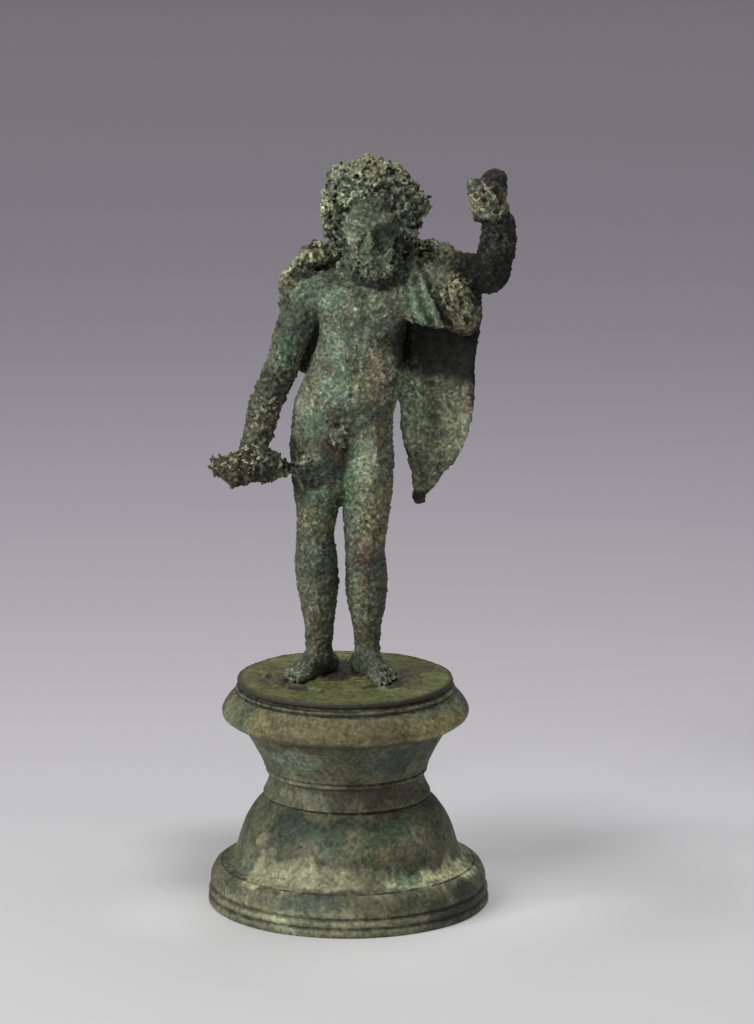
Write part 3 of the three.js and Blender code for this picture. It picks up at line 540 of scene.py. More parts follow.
BODY_STROKES = (
    # chest and belly
    (((-7.6, 96.4), (-4.4, 93.8), (-0.6, 92.9), (3.4, 94.2), (4.7, 95.6)), 1.6, -0.4),
    (((-6.8, 95.6), (-2.6, 94.4), (1.6, 94.2)), 1.2, 0.25),
    (((5.2, 95.2), (8.4, 93.4), (12.2, 93.6), (15, 95.4)), 1.6, -0.4),
    (((5, 102), (4.8, 98.5), (4.6, 94.6)), 1.5, -0.3),
    (((4.2, 92.6), (3.4, 88), (2.2, 82.5), (1, 78)), 1.3, -0.35),
    (((-7.2, 88.6), (-4.2, 90.6), (-0.8, 91.4), (3.4, 91.9)), 1.1, -0.22),
    (((5, 91.8), (8.6, 91), (11.8, 88.8)), 1.1, -0.22),
    (((-3.2, 85.2), (1.4, 84.4), (6.8, 84.8)), 1, -0.2),
    (((-3.8, 80.2), (0.8, 79.4), (5.8, 80)), 1, -0.18),
    (((-3.3, 97.9),), 0.8, -0.55),
    (((11.6, 98.4),), 0.8, -0.45),
    (((1, 76.2),), 0.9, -0.8),
    curl_ring(-2.4, 68.4, 1.2),
    curl_ring(-4.9, 69.4, 0.9),
    curl_ring(-0.2, 67.2, 0.9),
    (((-2.4, 68.4),), 0.5, -0.7),
    # groin, thighs and knees
    (((12.2, 74), (8.6, 70.8), (4.6, 68.2), (0.4, 65.2)), 1.5, -0.5),
    (((-3.6, 66.4), (-3.2, 63)), 1.8, 0.8),
    (((-0.6, 62), (-0.9, 56), (-1.4, 49.5)), 1.2, -0.6),
    (((-11.2, 41.4), (-8.4, 42.6), (-5.4, 41)), 1.2, 0.35),
    (((-10.9, 36.6), (-11.4, 33.4), (-10, 31)), 0.9, -0.35),
    (((-5.9, 36.6), (-5.5, 33.4), (-6.6, 31)), 0.9, -0.35),
    (((1.4, 41), (4.6, 42.4), (7.6, 41)), 1.2, 0.35),
    (((1.9, 38.4), (1.5, 35.4), (2.6, 33)), 0.9, -0.35),
    (((6.9, 38.4), (7.2, 35.4), (6.2, 33)), 0.9, -0.35),
    (((-8.4, 30), (-7.8, 22), (-7.4, 12)), 1, 0.28),
    (((4.4, 31), (4.8, 22), (4.9, 12)), 1, 0.28),
    # front folds of the cloak
    (((14.6, 106.5), (15.4, 102.5), (16.6, 97.5), (17.6, 95)), 1.1, -0.9),
    (((17.4, 106.5), (18.6, 102), (20.2, 97.5), (21.6, 95)), 1.1, -1),
    (((18.4, 110), (20.4, 106.4), (22.2, 102.5), (24.2, 98), (26, 94)), 1.2, -1.4),
    (((25, 104), (25.8, 100), (27.6, 96.6)), 1, -1),
    (((28.6, 103.4), (29.6, 99), (31, 95.4)), 0.9, -0.7),
    (((16, 106), (17, 101.5), (18.8, 96.2)), 0.8, 0.25),
    (((18.6, 106.5), (20.4, 102), (22.4, 96.6)), 0.8, 0.25),
    # neck and shoulders
    (((-7.6, 105), (-3, 104.2), (2, 102.8)), 1.2, 0.3),
)
BACK_STROKES = (  # spine, shoulder blades and the cloak's folds
    (((10.6, 105), (11.6, 97), (11.2, 88), (9.8, 80.5)), 1, -0.6),
    (((4.2, 106), (5.2, 98), (5.4, 89), (5.2, 79.5)), 1.1, -0.7),
    (((-2, 106.5), (-1.6, 98), (-0.8, 88), (0.2, 79)), 1, -0.6),
    (((-8.2, 106), (-8.6, 97), (-7.6, 87), (-6, 78.5)), 1.1, -0.7),
    (((-14, 105), (-15, 94), (-15.2, 80), (-16.6, 64), (-18.2, 53)), 1.1, -0.75),
    (((-20, 104), (-21, 92), (-21.2, 78), (-20.6, 64), (-19.6, 54)), 1.1, -0.75),
    (((-25.6, 103), (-26.4, 90), (-26, 76), (-23.6, 62), (-21, 55)), 1.1, -0.7),
    (((1.5, 64), (1.5, 56)), 1.2, -0.4),
)
HEAD_STROKES = (
    # locks at the side of the head
    (((-10.4, 9), (-10.9, 4), (-10.8, -1), (-10, -6)), 0.9, -1.2),
    (((-8.2, 7.6), (-8.6, 3), (-8.3, -2)), 0.7, -0.6),
    # brow, eyes, nose and mouth
    *both_sides(((5.6, 3.2), (3.4, 4.5), (1.2, 3.7)), 0.9, 0.3),
    *both_sides(((4.9, 1), (3.1, 1.9), (1.4, 0.9)), 0.5, 0.26),
    *both_sides(((4.8, 0.7), (3.1, 0), (1.5, 0.6)), 0.5, 0.22),
    *both_sides(((4.6, 1.1), (3.1, 1.4), (1.6, 1)), 0.35, -0.2),
    *both_sides(((0.75, -2.2), (0.95, -2.5)), 0.45, -0.4),
    *both_sides(((1.7, -1.2), (2.1, -2.3), (3, -3.4)), 0.6, -0.3),
    (((-2, -4.7), (-0.6, -4.5), (0, -4.7), (0.6, -4.5), (2, -4.7)), 0.45, -0.42),
    (((-1.4, -5.4), (0, -5.6), (1.4, -5.4)), 0.6, 0.28),
    *both_sides(((0.8, -3.4), (2.6, -4.2), (4.6, -6.2)), 0.5, -0.3),
    *both_sides(((1.6, -3.3), (3.6, -4.6), (5.4, -7.2)), 0.5, 0.3),
)
HAND_STROKES = (
    # fingers of the raised fist
    (((34.4, 130.8), (37.4, 128), (38.6, 125.6)), 0.9, 0.55),
    (((36, 131), (39.4, 127.4)), 0.8, -0.6),
    (((32.9, 128.4), (33.4, 124.4)), 0.9, 0.5),
    (((34.6, 129.2), (35.2, 124.8)), 0.8, -0.8),
    (((32.8, 124.2), (34.2, 122.6), (36, 123.4), (38, 122.6), (40.4, 124.6)), 1, 0.6),
    (((35.4, 125), (37.2, 126), (39.6, 125.8)), 0.8, -0.6),
    # fingers of the lowered fist, round the thunderbolt
    (((-27.4, 61), (-27, 58), (-27.2, 55)), 0.8, -0.6),
    (((-25.2, 61.6), (-24.8, 58.4), (-25, 54.8)), 0.8, -0.6),
    (((-23.2, 61.4), (-22.8, 58), (-23, 55)), 0.8, -0.6),
)
STROKES = [
    (view, *stroke)
    for view, strokes in (
        (FRONT, BODY_STROKES),
        (BACK, BACK_STROKES),
        (HEAD, HEAD_STROKES),
        (FRONT, HAND_STROKES),
        (TOP, toe_grooves((-14.3, -7.2), (-0.665, -0.746), (-0.746, 0.665))),
        (TOP, toe_grooves((9.2, -9.2), (0.473, -0.881), (0.881, 0.473))),
        (FRONT, toe_gaps((-15.7, -14.6, -13.4, 9.2, 10.6, 11.8, 12.8))),
    )
    for stroke in strokes
]


STROKE_STEP = 0.5
VIEW_DISTANCE = 60


def drawn_path(tree, view, path):
    """The path with rounded corners, laid on the skin as seen in its view, as close points."""
    flat = [Vector((a, 0, b)) for a, b in path]
    for _ in range(2 if len(flat) > 2 else 0):
        cut = [flat[0]]
        for a, b in zip(flat[:-1], flat[1:]):
            cut += [a.lerp(b, 0.25), a.lerp(b, 0.75)]
        flat = cut + [flat[-1]]
    dense = [flat[0]]
    for a, b in zip(flat[:-1], flat[1:]):
        count = max(1, math.ceil((b - a).length / STROKE_STEP))
        dense += [a.lerp(b, (i + 1) / count) for i in range(count)]
    ahead = view.to_3x3() @ Vector((0, 1, 0))
    hits = [tree.ray_cast(view @ (p - Vector((0, VIEW_DISTANCE, 0))), ahead)[0] for p in dense]
    return [list(hit) for hit in hits if hit]


def carve(obj, strokes):
    """Draws the strokes into the skin, along its normals."""
    points, normals = figure_mm(obj), normals_of(obj)
    tree = BVHTree.FromPolygons([Vector(p) for p in points], faces_of(obj))
    lift = np.zeros(len(points))
    for view, path, width, height in strokes:
        laid = drawn_path(tree, view, path)
        if laid:
            away = from_path(points, laid, width) / width
            lift += height * (1 - away**2) ** 2
    move_points(obj, (points + normals * lift[:, None]) * MM + FIGURE_PLACE)


# Figure: where the corrosion is rough, and where each colour of it lies

RIGHT_ARM = ((-10.4, 1.2, 101.4), (-14.8, 1, 89.5), (-17.2, 1.6, 81.5))
RIGHT_FOREARM = ((-18.4, 1, 80), (-21.6, -0.6, 71.2), (-23.7, -3.4, 63.8), (-25.2, -6.2, 59.4))
THUNDERBOLT = ((-35, -7, 58.9), (-25, -7.2, 57.2), (-13.6, -4.8, 56.6))
LEFT_UPPER_ARM = ((24, 2.2, 106), (36.7, 1.6, 106.2))
LEFT_FOREARM = ((36.7, 1.6, 108), (38.6, -1.2, 119.6))
LEFT_FIST = (36.1, -2.6, 125.4)
SWAG = ((27.6, -4, 103), (30.6, -3, 93))

CRUST = (
    ((6.2, -2.6, 122.5), 20, 0.8),
    (RIGHT_ARM, 9, 0.65),
    (((-17.2, 1.6, 84), (-17.2, 1.6, 79)), 7.5, 0.8),
    (RIGHT_FOREARM, 8.5, 0.85),
    (THUNDERBOLT, 9, 0.85),
    (LEFT_UPPER_ARM, 9, 0.75),
    (LEFT_FOREARM, 8.5, 0.85),
    (LEFT_FIST, 8.5, 0.8),
    (((24, 3, 76), (24, 3, 70), (19, 4, 54)), 13, 0.65),
    (SWAG, 8, 0.8),
    (((-15.9, 0.6, 105.2), (-7, 2.2, 112), (-2, 5, 112)), 7, 0.8),
    (((18, 3, 112), (29, 0.4, 110)), 7, 0.8),
    (((-7.9, 1, 60), (-8, 0, 40)), 12, 0.5),
    (((-9, -4, 72), (-6, -6, 64)), 9, 0.5),
    ((-3, -8, 64), 5, 0.85),
    (((5.2, 0.5, 62), (4.5, -1, 43)), 12, 0.55),
    ((4.6, -3, 42.5), 8, 0.75),
    (((-8, 0.5, 26), (-7.6, 1.9, 12)), 10, 0.45),
    (((1.6, 8, 98), (1, 8, 80)), 18, 0.5),
    (((-16.4, 2.6, 103), (-16, 3.8, 90)), 5, 0.9),
)
LEAST_CRUST = 0.38  # even the smoothest skin is this rough
SOFTENED = (  # places where the forms run into each other
    (((-8, -2, 95.5), (-2, -6, 93), (4, -7, 93.5), (11, -6, 93), (17, -6, 95)), 7, 1),
    (((5, -6, 103), (4.6, -7, 93)), 5, 0.8),
    (((13, -2, 75), (6, -6, 69.4), (0, -8, 65)), 7.5, 1),
    (((-14, -2, 71), (-8.6, -6, 62.8), (-4, -7.6, 60)), 7.5, 1),
)


def roughness_at(points):
    wander = 1.6 * rolling(points, 7.0)
    smooth_face = face_opening(in_head(points))
    rough = np.maximum(patches(points + wander, CRUST), LEAST_CRUST)
    return rough * (1 - 0.3 * smooth_face)


OCHRE = (
    ((6.2, 2, 132), 13, 0.95),
    ((-4.4, 1, 125), 9, 0.6),
    ((16, 1, 124), 8, 0.75),
    (RIGHT_FOREARM, 6, 0.4),
    (THUNDERBOLT[:2], 7.5, 1),
    ((THUNDERBOLT[1], (-18, -6, 57)), 5, 0.8),
    (LEFT_FIST, 6.5, 0.95),
    (SWAG, 6, 0.8),
    (((19, 2.5, 112), (29, 0.4, 110)), 4.5, 0.7),
    (((-15.9, 0.6, 105.2), (-7, 2.2, 112)), 4.6, 0.55),
    (((26, 3, 80), (26, 3, 62)), 9, 0.35),
    (((20, 3.5, 70), (18.5, 4.5, 52)), 6, 0.3),
    ((3.9, -6.6, 79.9), 4.2, 0.6),
    ((-8.9, -4.1, 78.9), 3.6, 0.55),
    (((7, -3, 50), (6.5, -4, 41)), 6.5, 0.85),
    (((-9.8, -4, 43), (-6, -4, 41)), 3.6, 0.7),
    (((-7.8, 0, 24), (-7.6, 1, 8)), 6, 0.35),
    (((3, -3, 26), (3.6, -2, 12)), 4, 0.45),
    (((1, 7, 104), (1, 8, 86)), 13, 0.35),
)
VERDIGRIS = (
    ((-9.8, -2.6, 101.8), 6.4, 1),
    ((-3.6, -5, 100.6), 5.6, 0.8),
    (((-13, -1.2, 97), (-15, -1.6, 88)), 4.4, 0.55),
    ((-2.8, -7, 77.9), 6.2, 0.75),
    (((-3.5, -6.5, 90), (-4, -6.5, 84)), 5, 0.55),
    ((-9.5, -6.1, 69.1), 5.2, 0.8),
    (((16.5, -5.5, 104), (20, -6.5, 97)), 4.6, 0.5),
    (((6, -11.5, 117.5), (5.6, -12, 113)), 6, 0.4),
    ((-8, -6, 49.5), 4.4, 0.75),
    (((0.4, -6, 62), (0.2, -6, 55)), 4.6, 0.8),
    (((16, 3, 78), (15.6, 3, 66)), 5, 0.5),
    ((-12, 5, 96), 7, 0.4),
    ((10, 10, 92), 8, 0.45),
    ((-6, 8, 62), 6, 0.5),
)
MALACHITE = (
    (((0.4, -5.2, 54), (0.8, -5, 45)), 3.2, 1),
    ((7.4, -11, 118.5), 4.6, 0.4),
    ((4.6, -11.6, 113), 3.6, 0.6),
    (((18.4, -6, 102), (21, -6.5, 97)), 2.6, 0.5),
    (((-14.6, -2, 92), (-16.6, -2, 84)), 3.2, 0.6),
    (((-6, -4.8, 33), (-7.6, -5.6, 29)), 3, 0.35),
    ((-9.5, -6, 67), 3.4, 0.5),
    ((6, 6, 48), 5, 0.5),
    (((-18.4, 1, 79), (-23, -2, 66)), 4, 0.7),
    (((-9, -4, 56), (-8, -4, 46)), 6, 0.4),
)
UMBER = (
    ((36, -4, 128.5), 4.5, 1),
    ((36, -4, 123), 3, 0.5),
    ((-5.1, -5.4, 82.8), 1.7, 1),
    (((8.7, -4, 68.7), (8.5, -4.2, 62.7)), 1.9, 0.8),
    ((12, -5.5, 104.4), 2.4, 0.4),
    (((-4.4, -7.5, 63.4), (-1.6, -7, 60.6)), 3.2, 0.85),
    ((-9.6, -6.4, 58.8), 2.4, 0.6),
    (((4.4, -6.5, 37.5), (4.2, -6, 33)), 3.2, 0.85),
    (((4.8, -5, 28), (5, -4.5, 24)), 2.4, 0.5),
    (((-8.6, -3, 17), (-8.6, -3, 9)), 3.2, 0.55),
    (((8, -6, 88), (9, -5.5, 76)), 4.6, 0.45),
    (((31, 0, 76), (30.6, 0, 72)), 1.6, 0.9),
    ((14, -6, 97), 3, 0.4),
    ((-6, 6, 40), 5, 0.45),
)
# Near-black soot, and painted shadow: across the top of the right thigh under the thunderbolt, on
# the right of the face and neck, under the beard and in the fold between the cloak's drape and its
# roll.
SOOT_AND_PAINTED_SHADOW = (
    (((-9.8, -6.1, 55.2), (-3.9, -6.4, 55.9)), 4.4, 0.6),
    (((31, 1.6, 105), (36.7, 1.6, 105.5), (38.6, -0.5, 117.5)), 11, 0.6),
    (((14, -4.5, 117), (13, -5, 112)), 4.6, 0.75),
    ((37.6, -2.6, 131.5), 7, 0.6),
    ((18.5, 4.9, 46.4), 3.2, 0.85),
    (((9.6, -4, 90), (11, -3, 80)), 4, 0.45),
    (((-12.9, -1, 107), (-10, 0, 108)), 2.8, 1),
    (((2.4, -6.5, 106), (6.2, -7, 104.4), (10.7, -6.5, 105), (15, -5.5, 109)), 2.6, 0.9),
    (((-3, -5, 111.5), (0, -6, 108)), 2, 0.5),
    (((31.6, 0, 92), (32.6, 0, 74)), 2.2, 0.7),
    (((21.6, -5.6, 104.4), (24.4, -5.4, 98), (26.4, -5, 93.6)), 1.7, 0.6),
)
PALE = (
    (((-6, -4, 100), (-7.5, -4, 88)), 7, 0.55),
    ((-2, -6.5, 98), 6, 0.4),
    (((-8, -4, 86), (-9.5, -4, 72)), 6, 0.6),
    (((4.6, -6, 68), (5, -6, 56)), 4.6, 0.8),
    (((-7, -6.5, 48), (-7.4, -6, 42)), 4, 0.3),
    ((0.4, -9.5, 118), 5.6, 0.9),
    ((2, -8, 132), 8, 0.7),
    (((15, 3, 78), (16, 3, 64)), 5.6, 0.5),
    (LEFT_FIST, 6.5, 0.8),
    (((1.5, -5, 28), (2, -4, 14)), 2.6, 0.7),
)
PAINTED_SHADE_AND_TONE = (  # painted shade and light in stops, partly each part's own tone; darkest inside the cloak under the raised arm
    ((6.2, 2, 130), 16, 0.2),
    ((-5.4, 1, 125), 9, 1.35),
    ((-3.7, -9, 126), 6.5, 0.8),
    ((4, -6, 130), 7, 0.2),
    ((5, 0, 137), 8, -0.35),
    ((13, -6, 126), 7, -0.9),
    ((2, -9, 121), 6, -0.15),
    ((10, -10, 119), 5, -0.85),
    ((5, -9, 110), 8, 0.2),
    ((12.5, -6, 112.5), 6, 1.6),
    ((-9, -3, 101), 7, 0.25),
    ((4, -6, 101), 8, 0.3),
    (((2, -6, 86), (1, -6, 78)), 9, 0.35),
    ((-8, -3, 84), 7, -0.4),
    ((9, -4, 84), 6, 1.4),
    ((-4, -6, 72), 7, -0.15),
    (((-14, 0, 107), (-7, 2, 111)), 6, 0.9),
    ((18, -5, 101), 6, 0.5),
    ((-15.9, 0.6, 105.2), 6, 0.05),
    (((31, 1.6, 105), (36.7, 1.6, 105.5)), 11, -1.6),
    ((33, 0, 108), 6, -0.4),
    (((37.6, 1, 110), (38.6, -1, 118)), 9, -0.7),
    ((36, -5, 125), 6, -0.1),
    ((31.9, -4.6, 130.2), 4, -0.9),
    ((38, -3, 132.5), 6, -2),
    (RIGHT_ARM, 11, -0.7),
    ((-17, 1.6, 84), 8, 1.38),
    (RIGHT_FOREARM, 11, -0.6),
    ((-21.4, 0, 73), 6, 0.2),
    ((-24, -4, 62.5), 6, 0.7),
    (THUNDERBOLT, 10, -1.34),
    (((-18, -6, 57), (-14, -5, 56.6)), 6, 1.15),
    ((-2.6, -6.5, 60.4), 6, -1.4),
    ((-9.4, -5, 59.5), 4, 0.9),
    ((3.5, -6, 60), 7, 0.6),
    ((-7, 0, 57), 12, -0.1),
    ((-8, -4.5, 55.6), 7, 1),
    (((-7.8, 0, 50), (-7.8, 0, 8)), 12, -0.28),
    (((4.4, 0, 28), (4, 0, 8)), 12, -0.42),
    ((8, -6, 3), 8, -0.2),
    ((5.2, 0, 15), 6, -0.16),
    (((15, 3, 90), (31, 2, 86)), 11, -3.9),
    ((28, -4, 99), 7, -0.65),
    ((-11, -3, 70), 7, 0.3),
    (((14.6, 3, 78), (15.6, 3, 64)), 7, 1),
    (((30, 3, 76), (27, 3, 64)), 7, 0.6),
    (((20, 4, 66), (19, 4, 56)), 7, -0.25),
)
SHADE_REACH = 4.0  # stops either way that the attribute holds


def shades(points, table):
    """Stops of painted shade and light at each point, as the share from 0 to 1 that the material
    reads.
    """
    total = np.zeros(len(points))
    for path, radius, stops in table:
        away = from_path(points, path, radius)
        total += stops * ease(-away / radius, -1, -0.4)
    return 0.5 + total / (2 * SHADE_REACH)


FLECKS = (  # where bright yellow-white grains lie in the crust
    (((-27, -9, 58.5), (-23.4, -9, 61.5)), 5, 1),
    (((-34, -8, 59), (-30, -9, 58)), 3.4, 0.6),
    (((-20, -3, 74), (-22, -4, 68)), 4, 0.75),
    (((34.6, -6, 127.4), (36, -7, 123.4)), 4.6, 1),
    ((6.2, -2, 134), 12, 0.55),
    ((14, -6, 126), 6, 0.7),
    ((28, -5, 102), 6, 0.75),
    ((4, -7, 79.9), 4, 0.4),
    ((-10.6, -5.2, 42.3), 3.6, 0.8),
    (((5, -6, 46), (4.6, -6, 41)), 5, 0.6),
    (((4.6, -6, 66), (5, -6, 52)), 4, 0.45),
    (((24, 0, 70), (20, 0, 56)), 7, 0.4),
    ((-3.4, -8, 64), 3, 0.6),
    ((12, -5.5, 104.4), 3, 0.5),
)
COLOUR_PATCHES = {
    "fleck": FLECKS,
    "pale": PALE,
    "ochre": OCHRE,
    "verdigris": VERDIGRIS,
    "malachite": MALACHITE,
    "umber": UMBER,
    "soot_and_shadow": SOOT_AND_PAINTED_SHADOW,
}


def hollows(obj, rounds):
    """How far each vertex lies under its smoothed surroundings, in millimetres."""
    points, normals = points_of(obj), normals_of(obj)
    a, b = edges_of(obj).T
    count = np.bincount(np.concatenate([a, b]), minlength=len(points))[:, None]
    smooth = points.copy()
    for _ in range(rounds):
        sums = [
            np.bincount(a, axis[b], len(points)) + np.bincount(b, axis[a], len(points))
            for axis in smooth.T
        ]
        smooth = 0.5 * smooth + 0.5 * np.stack(sums, axis=1) / np.maximum(count, 1)
    return ((smooth - points) * normals).sum(1) / MM


def rough_up(obj, group, layers):
    """Corrosion: each layer lifts and sinks the skin by a random grain, where the group says."""
    for name, size, height, middle, kind, depth, hardness in layers:
        texture = bpy.data.textures.new(name, "CLOUDS")
        texture.noise_scale = size * MM
        texture.noise_basis = kind
        texture.noise_depth = depth
        texture.noise_type = hardness
        modify(
            obj,
            "DISPLACE",
            texture=texture,
            texture_coords="LOCAL",
            direction="NORMAL",
            mid_level=middle,
            strength=height * MM,
            vertex_group=group,
        )


FIGURE_LAYERS = (  # name, grain size, height, middle level, kind of noise, its depth and hardness
    ("corrosion_lumps", 2.4, 1.1, 0.5, "BLENDER_ORIGINAL", 2, "SOFT_NOISE"),
    ("corrosion_grains", 1.3, 1.45, 0.42, "BLENDER_ORIGINAL", 2, "HARD_NOISE"),
    ("corrosion_crumbs", 1.4, -0.9, 0.35, "VORONOI_F1", 0, "SOFT_NOISE"),
)
SKIN_SWELL = 0.12  # makes up for what smoothing takes off the skin


def build_figure(sizes):
    random = np.random.default_rng(7)
    casting = copy_of_node("figure", "figure_casting")
    modify(casting, "SUBSURF", levels=1, render_levels=1, subdivision_type="CATMULL_CLARK")
    weigh(casting, "softened", patches(figure_mm(casting), SOFTENED))
    soften(casting, sizes.softening, group="softened")
    casting.vertex_groups.clear()
    open_face(casting)
    parts = hair_and_beard(casting, random) + [flame_petals(random)] + swellings()
    casting = joined(casting, parts)
    step = sizes.skin_step * 1.0
    modify(casting, "REMESH", mode="VOXEL", voxel_size=step)
    soften(casting, 2)
    points = figure_mm(casting)
    move_points(casting, points_of(casting) + normals_of(casting) * SKIN_SWELL * MM)
    weigh(casting, "softened", patches(points, SOFTENED))
    soften(casting, 60, group="softened")
    casting.vertex_groups.clear()
    carve(casting, STROKES)

    weigh(casting, "crust", roughness_at(figure_mm(casting)))
    rough_up(casting, "crust", FIGURE_LAYERS)
    soften(casting, 1, factor=0.4)
    casting.vertex_groups.clear()
    triangles = sum(len(p.vertices) - 2 for p in casting.data.polygons)
    modify(casting, "DECIMATE", ratio=min(1.0, sizes.skin_triangles / triangles))

    points = figure_mm(casting)
    store(casting, "crust", roughness_at(points))
    store(casting, "hollow", 0.5 + hollows(casting, 5) / 0.5)
    points += 1.5 * rolling(points, 3.6, 1.0) + 0.7 * rolling(points, 1.4, 2.0)
    store_patches(casting, points, COLOUR_PATCHES)
    # The painted shade and light are known for the front alone; the back keeps the middle tone.
    in_front = ease(-normals_of(casting)[:, 1], -0.4, 0.3)
    store(casting, "shade", 0.5 + in_front * (shades(points, PAINTED_SHADE_AND_TONE) - 0.5))
    return dressed(casting, figure_bronze(bpy.context.scene.statuette_patina))


# Pedestal and plate: turned profiles as (radius, height), from the floor up

PEDESTAL_HEIGHT = (PEDESTAL_HIGH.z - PEDESTAL_LOW.z) / MM
PEDESTAL_LEAN = (PLATE_AXIS_X - AXIS_X) / MM

OUTER_PROFILE = (  # a third number rounds the corner by that radius
    (36.5, 0, 0.3),
    (36.9, 0.5, 0.4),
    (36.9, 1.5, 0.3),
    (36.3, 2, 0.2),
    (36.2, 2.4, 0.2),
    (36.7, 2.9, 0.3),
    (36.7, 3.8, 0.3),
    (35.9, 4.3, 0.2),
    (35.7, 4.8, 0.2),
    (36.2, 5.4, 0.5),
    (36.1, 7.2, 1.5),
    (34.9, 9.6, 1),
    (33.5, 10.5, 0.3),
    (33.1, 10.3, 0.15),
    (32.8, 10.9, 0.2),
    (32, 10.9, 0.3),
    (29.9, 12.4, 1.5),
    (28.7, 15.6, 2),
    (27.9, 18.6, 2),
    (26.4, 22.4, 2),
    (23.8, 26.4, 2),
    (21.2, 28.5, 0.3),
    (21, 28.9, 0.1),
    (21.9, 29.3, 0.15),
    (21.8, 29.8, 0.2),
    (20.8, 31.6, 1),
    (20.1, 34, 0.8),
    (20.3, 34.9, 0.1),
    (21, 35.1, 0.15),
    (21.2, 35.8, 0.2),
    (20.9, 36.1, 0.1),
    (20.9, 36.4, 0.1),
    (21.5, 36.7, 0.15),
    (21.5, 37.3, 0.2),
    (22.6, 39.8, 1),
    (24.2, 42.8, 2),
    (26.3, 46.4, 1),
    (27.5, 48, 0.4),
    (29.8, 48.5, 1),
    (32.2, 50.2, 0.8),
    (32.3, 51.8, 0.8),
    (31, 54.2, 1.2),
    (29.2, 56.1, 0.5),
    (28.6, 56.5, 0.1),
    (28.2, 56.4, 0.1),
    (28.3, 56.9, 0.15),
    (28.7, 57.2, 0.15),
    (28.6, 57.7, 0.15),
    (27.6, 57.9, 0.1),
    (27.1, 58.5, 0.1),
)
INNER_PROFILE = (
    (24.6, 58.5, 0.1),
    (28, 52.4, 0.6),
    (24.8, 47.4, 0.6),
    (17.5, 34.6, 0.6),
    (24.4, 19.6, 0.6),
    (32.2, 7.4, 0.6),
    (34.3, 0, 0.1),
)


def rounded_profile(corners, spacing):
    """The profile with its corners rounded, and points about the spacing apart."""
    path = [np.array(corners[0][:2])]
    for before, (r, z, rounding), after in zip(corners, corners[1:], corners[2:]):
        here = np.array([r, z])
        back, on = np.array(before[:2]) - here, np.array(after[:2]) - here
        cut = min(rounding, 0.45 * np.linalg.norm(back), 0.45 * np.linalg.norm(on))
        a = here + back / np.linalg.norm(back) * cut
        b = here + on / np.linalg.norm(on) * cut
        steps = max(2, int(cut / spacing) + 2)
        for t in np.linspace(0, 1, steps):
            path.append((1 - t) ** 2 * a + 2 * t * (1 - t) * here + t**2 * b)
    path.append(np.array(corners[-1][:2]))
    dense = [path[0]]
    for p, q in zip(path, path[1:]):
        pieces = max(1, round(np.linalg.norm(q - p) / spacing))
        dense += [p + (q - p) * (k + 1) / pieces for k in range(pieces)]
    return np.array(dense)


def turned(name, profile, segments):
    """A closed outline in millimetres, turned about the vertical axis."""
    outline = np.vstack([profile, profile[:1]])
    bpy.ops.mesh.primitive_grid_add(x_subdivisions=segments, y_subdivisions=len(profile), size=1.0)
    obj = bpy.context.object
    obj.name = obj.data.name = name
    flat = points_of(obj)
    column = np.round((flat[:, 0] + 0.5) * segments).astype(int)
    row = np.round((flat[:, 1] + 0.5) * len(profile)).astype(int)
    turn = column * 2 * math.pi / segments
    radius, height = outline[row].T
    points = np.stack([radius * np.cos(turn), radius * np.sin(turn), height], 1)
    move_points(obj, points * MM)
    weld(obj, 2e-6, turn_outward=True)
    return obj


INSIDE_COARSER = 4  # how much wider the spacing is on the inside, which is hardly seen


def build_pedestal(sizes):
    spacing = sizes.profile_step / MM * 1.0
    outside = rounded_profile(OUTER_PROFILE, spacing)
    inside = rounded_profile(INNER_PROFILE, INSIDE_COARSER * spacing)
    segments = sizes.pedestal_segments
    pedestal = turned("pedestal_turning", np.vstack([outside, inside]), segments)
    points = points_of(pedestal) / MM
    normals = normals_of(pedestal)
    radius = np.hypot(points[:, 0], points[:, 1])
    seen = ease((points * normals)[:, :2].sum(1) / np.maximum(radius, 1), -0.15, 0.15)
    seen *= ease(points[:, 2], 0.0, 0.3)
    wear = 0.09 * grain(points, 8.0, 2) + 0.06 * grain(points, 2.2, 3, 1.0)
    pits = ease(grain(points, 1.2, 2, 2.0), 0.36, 0.6)
    lift = (wear - 0.08 * pits) * seen
    points = points + normals * lift[:, None]
    points[:, 0] += PEDESTAL_LEAN * points[:, 2] / PEDESTAL_HEIGHT + AXIS_X / MM
    points[:, 2] = np.clip(points[:, 2], 0, PEDESTAL_HEIGHT)
    move_points(pedestal, points * MM)
    points[:, 0] -= AXIS_X / MM
    store(pedestal, "seam_and_shadow", patches(points + 0.3 * rolling(points, 2.0, 5.0), PEDESTAL_SEAMS_AND_SHADOWS))
    points += 3.6 * rolling(points, 6.0, 3.0) + 1.4 * rolling(points, 2.2, 4.0)
    store_patches(pedestal, points, PEDESTAL_PATCHES)
    store(pedestal, "shade", shades(points, PEDESTAL_PAINTED_SHADE_AND_TONE))
    store(pedestal, "hollow", 0.5 + hollows(pedestal, 6) / 0.35)
    # painted shade in the wide hollows of the profile, where less light reaches
    store(pedestal, "shelter_shade", 0.5 + hollows(pedestal, 40) / 1.4)
    return dressed(pedestal, pedestal_bronze(bpy.context.scene.statuette_patina))


def round_at(azimuth, height, radius):
    """A place on the pedestal: the azimuth is 0 in front and grows towards the viewer's right."""
    turn = math.radians(azimuth)
    return (radius * math.sin(turn), -radius * math.cos(turn), height)


def arc(start, end, height, radius):
    """A path round the pedestal, from one azimuth to another."""
    steps = max(2, round(abs(end - start) / 6))
    return tuple(round_at(azimuth, height, radius) for azimuth in np.linspace(start, end, steps))


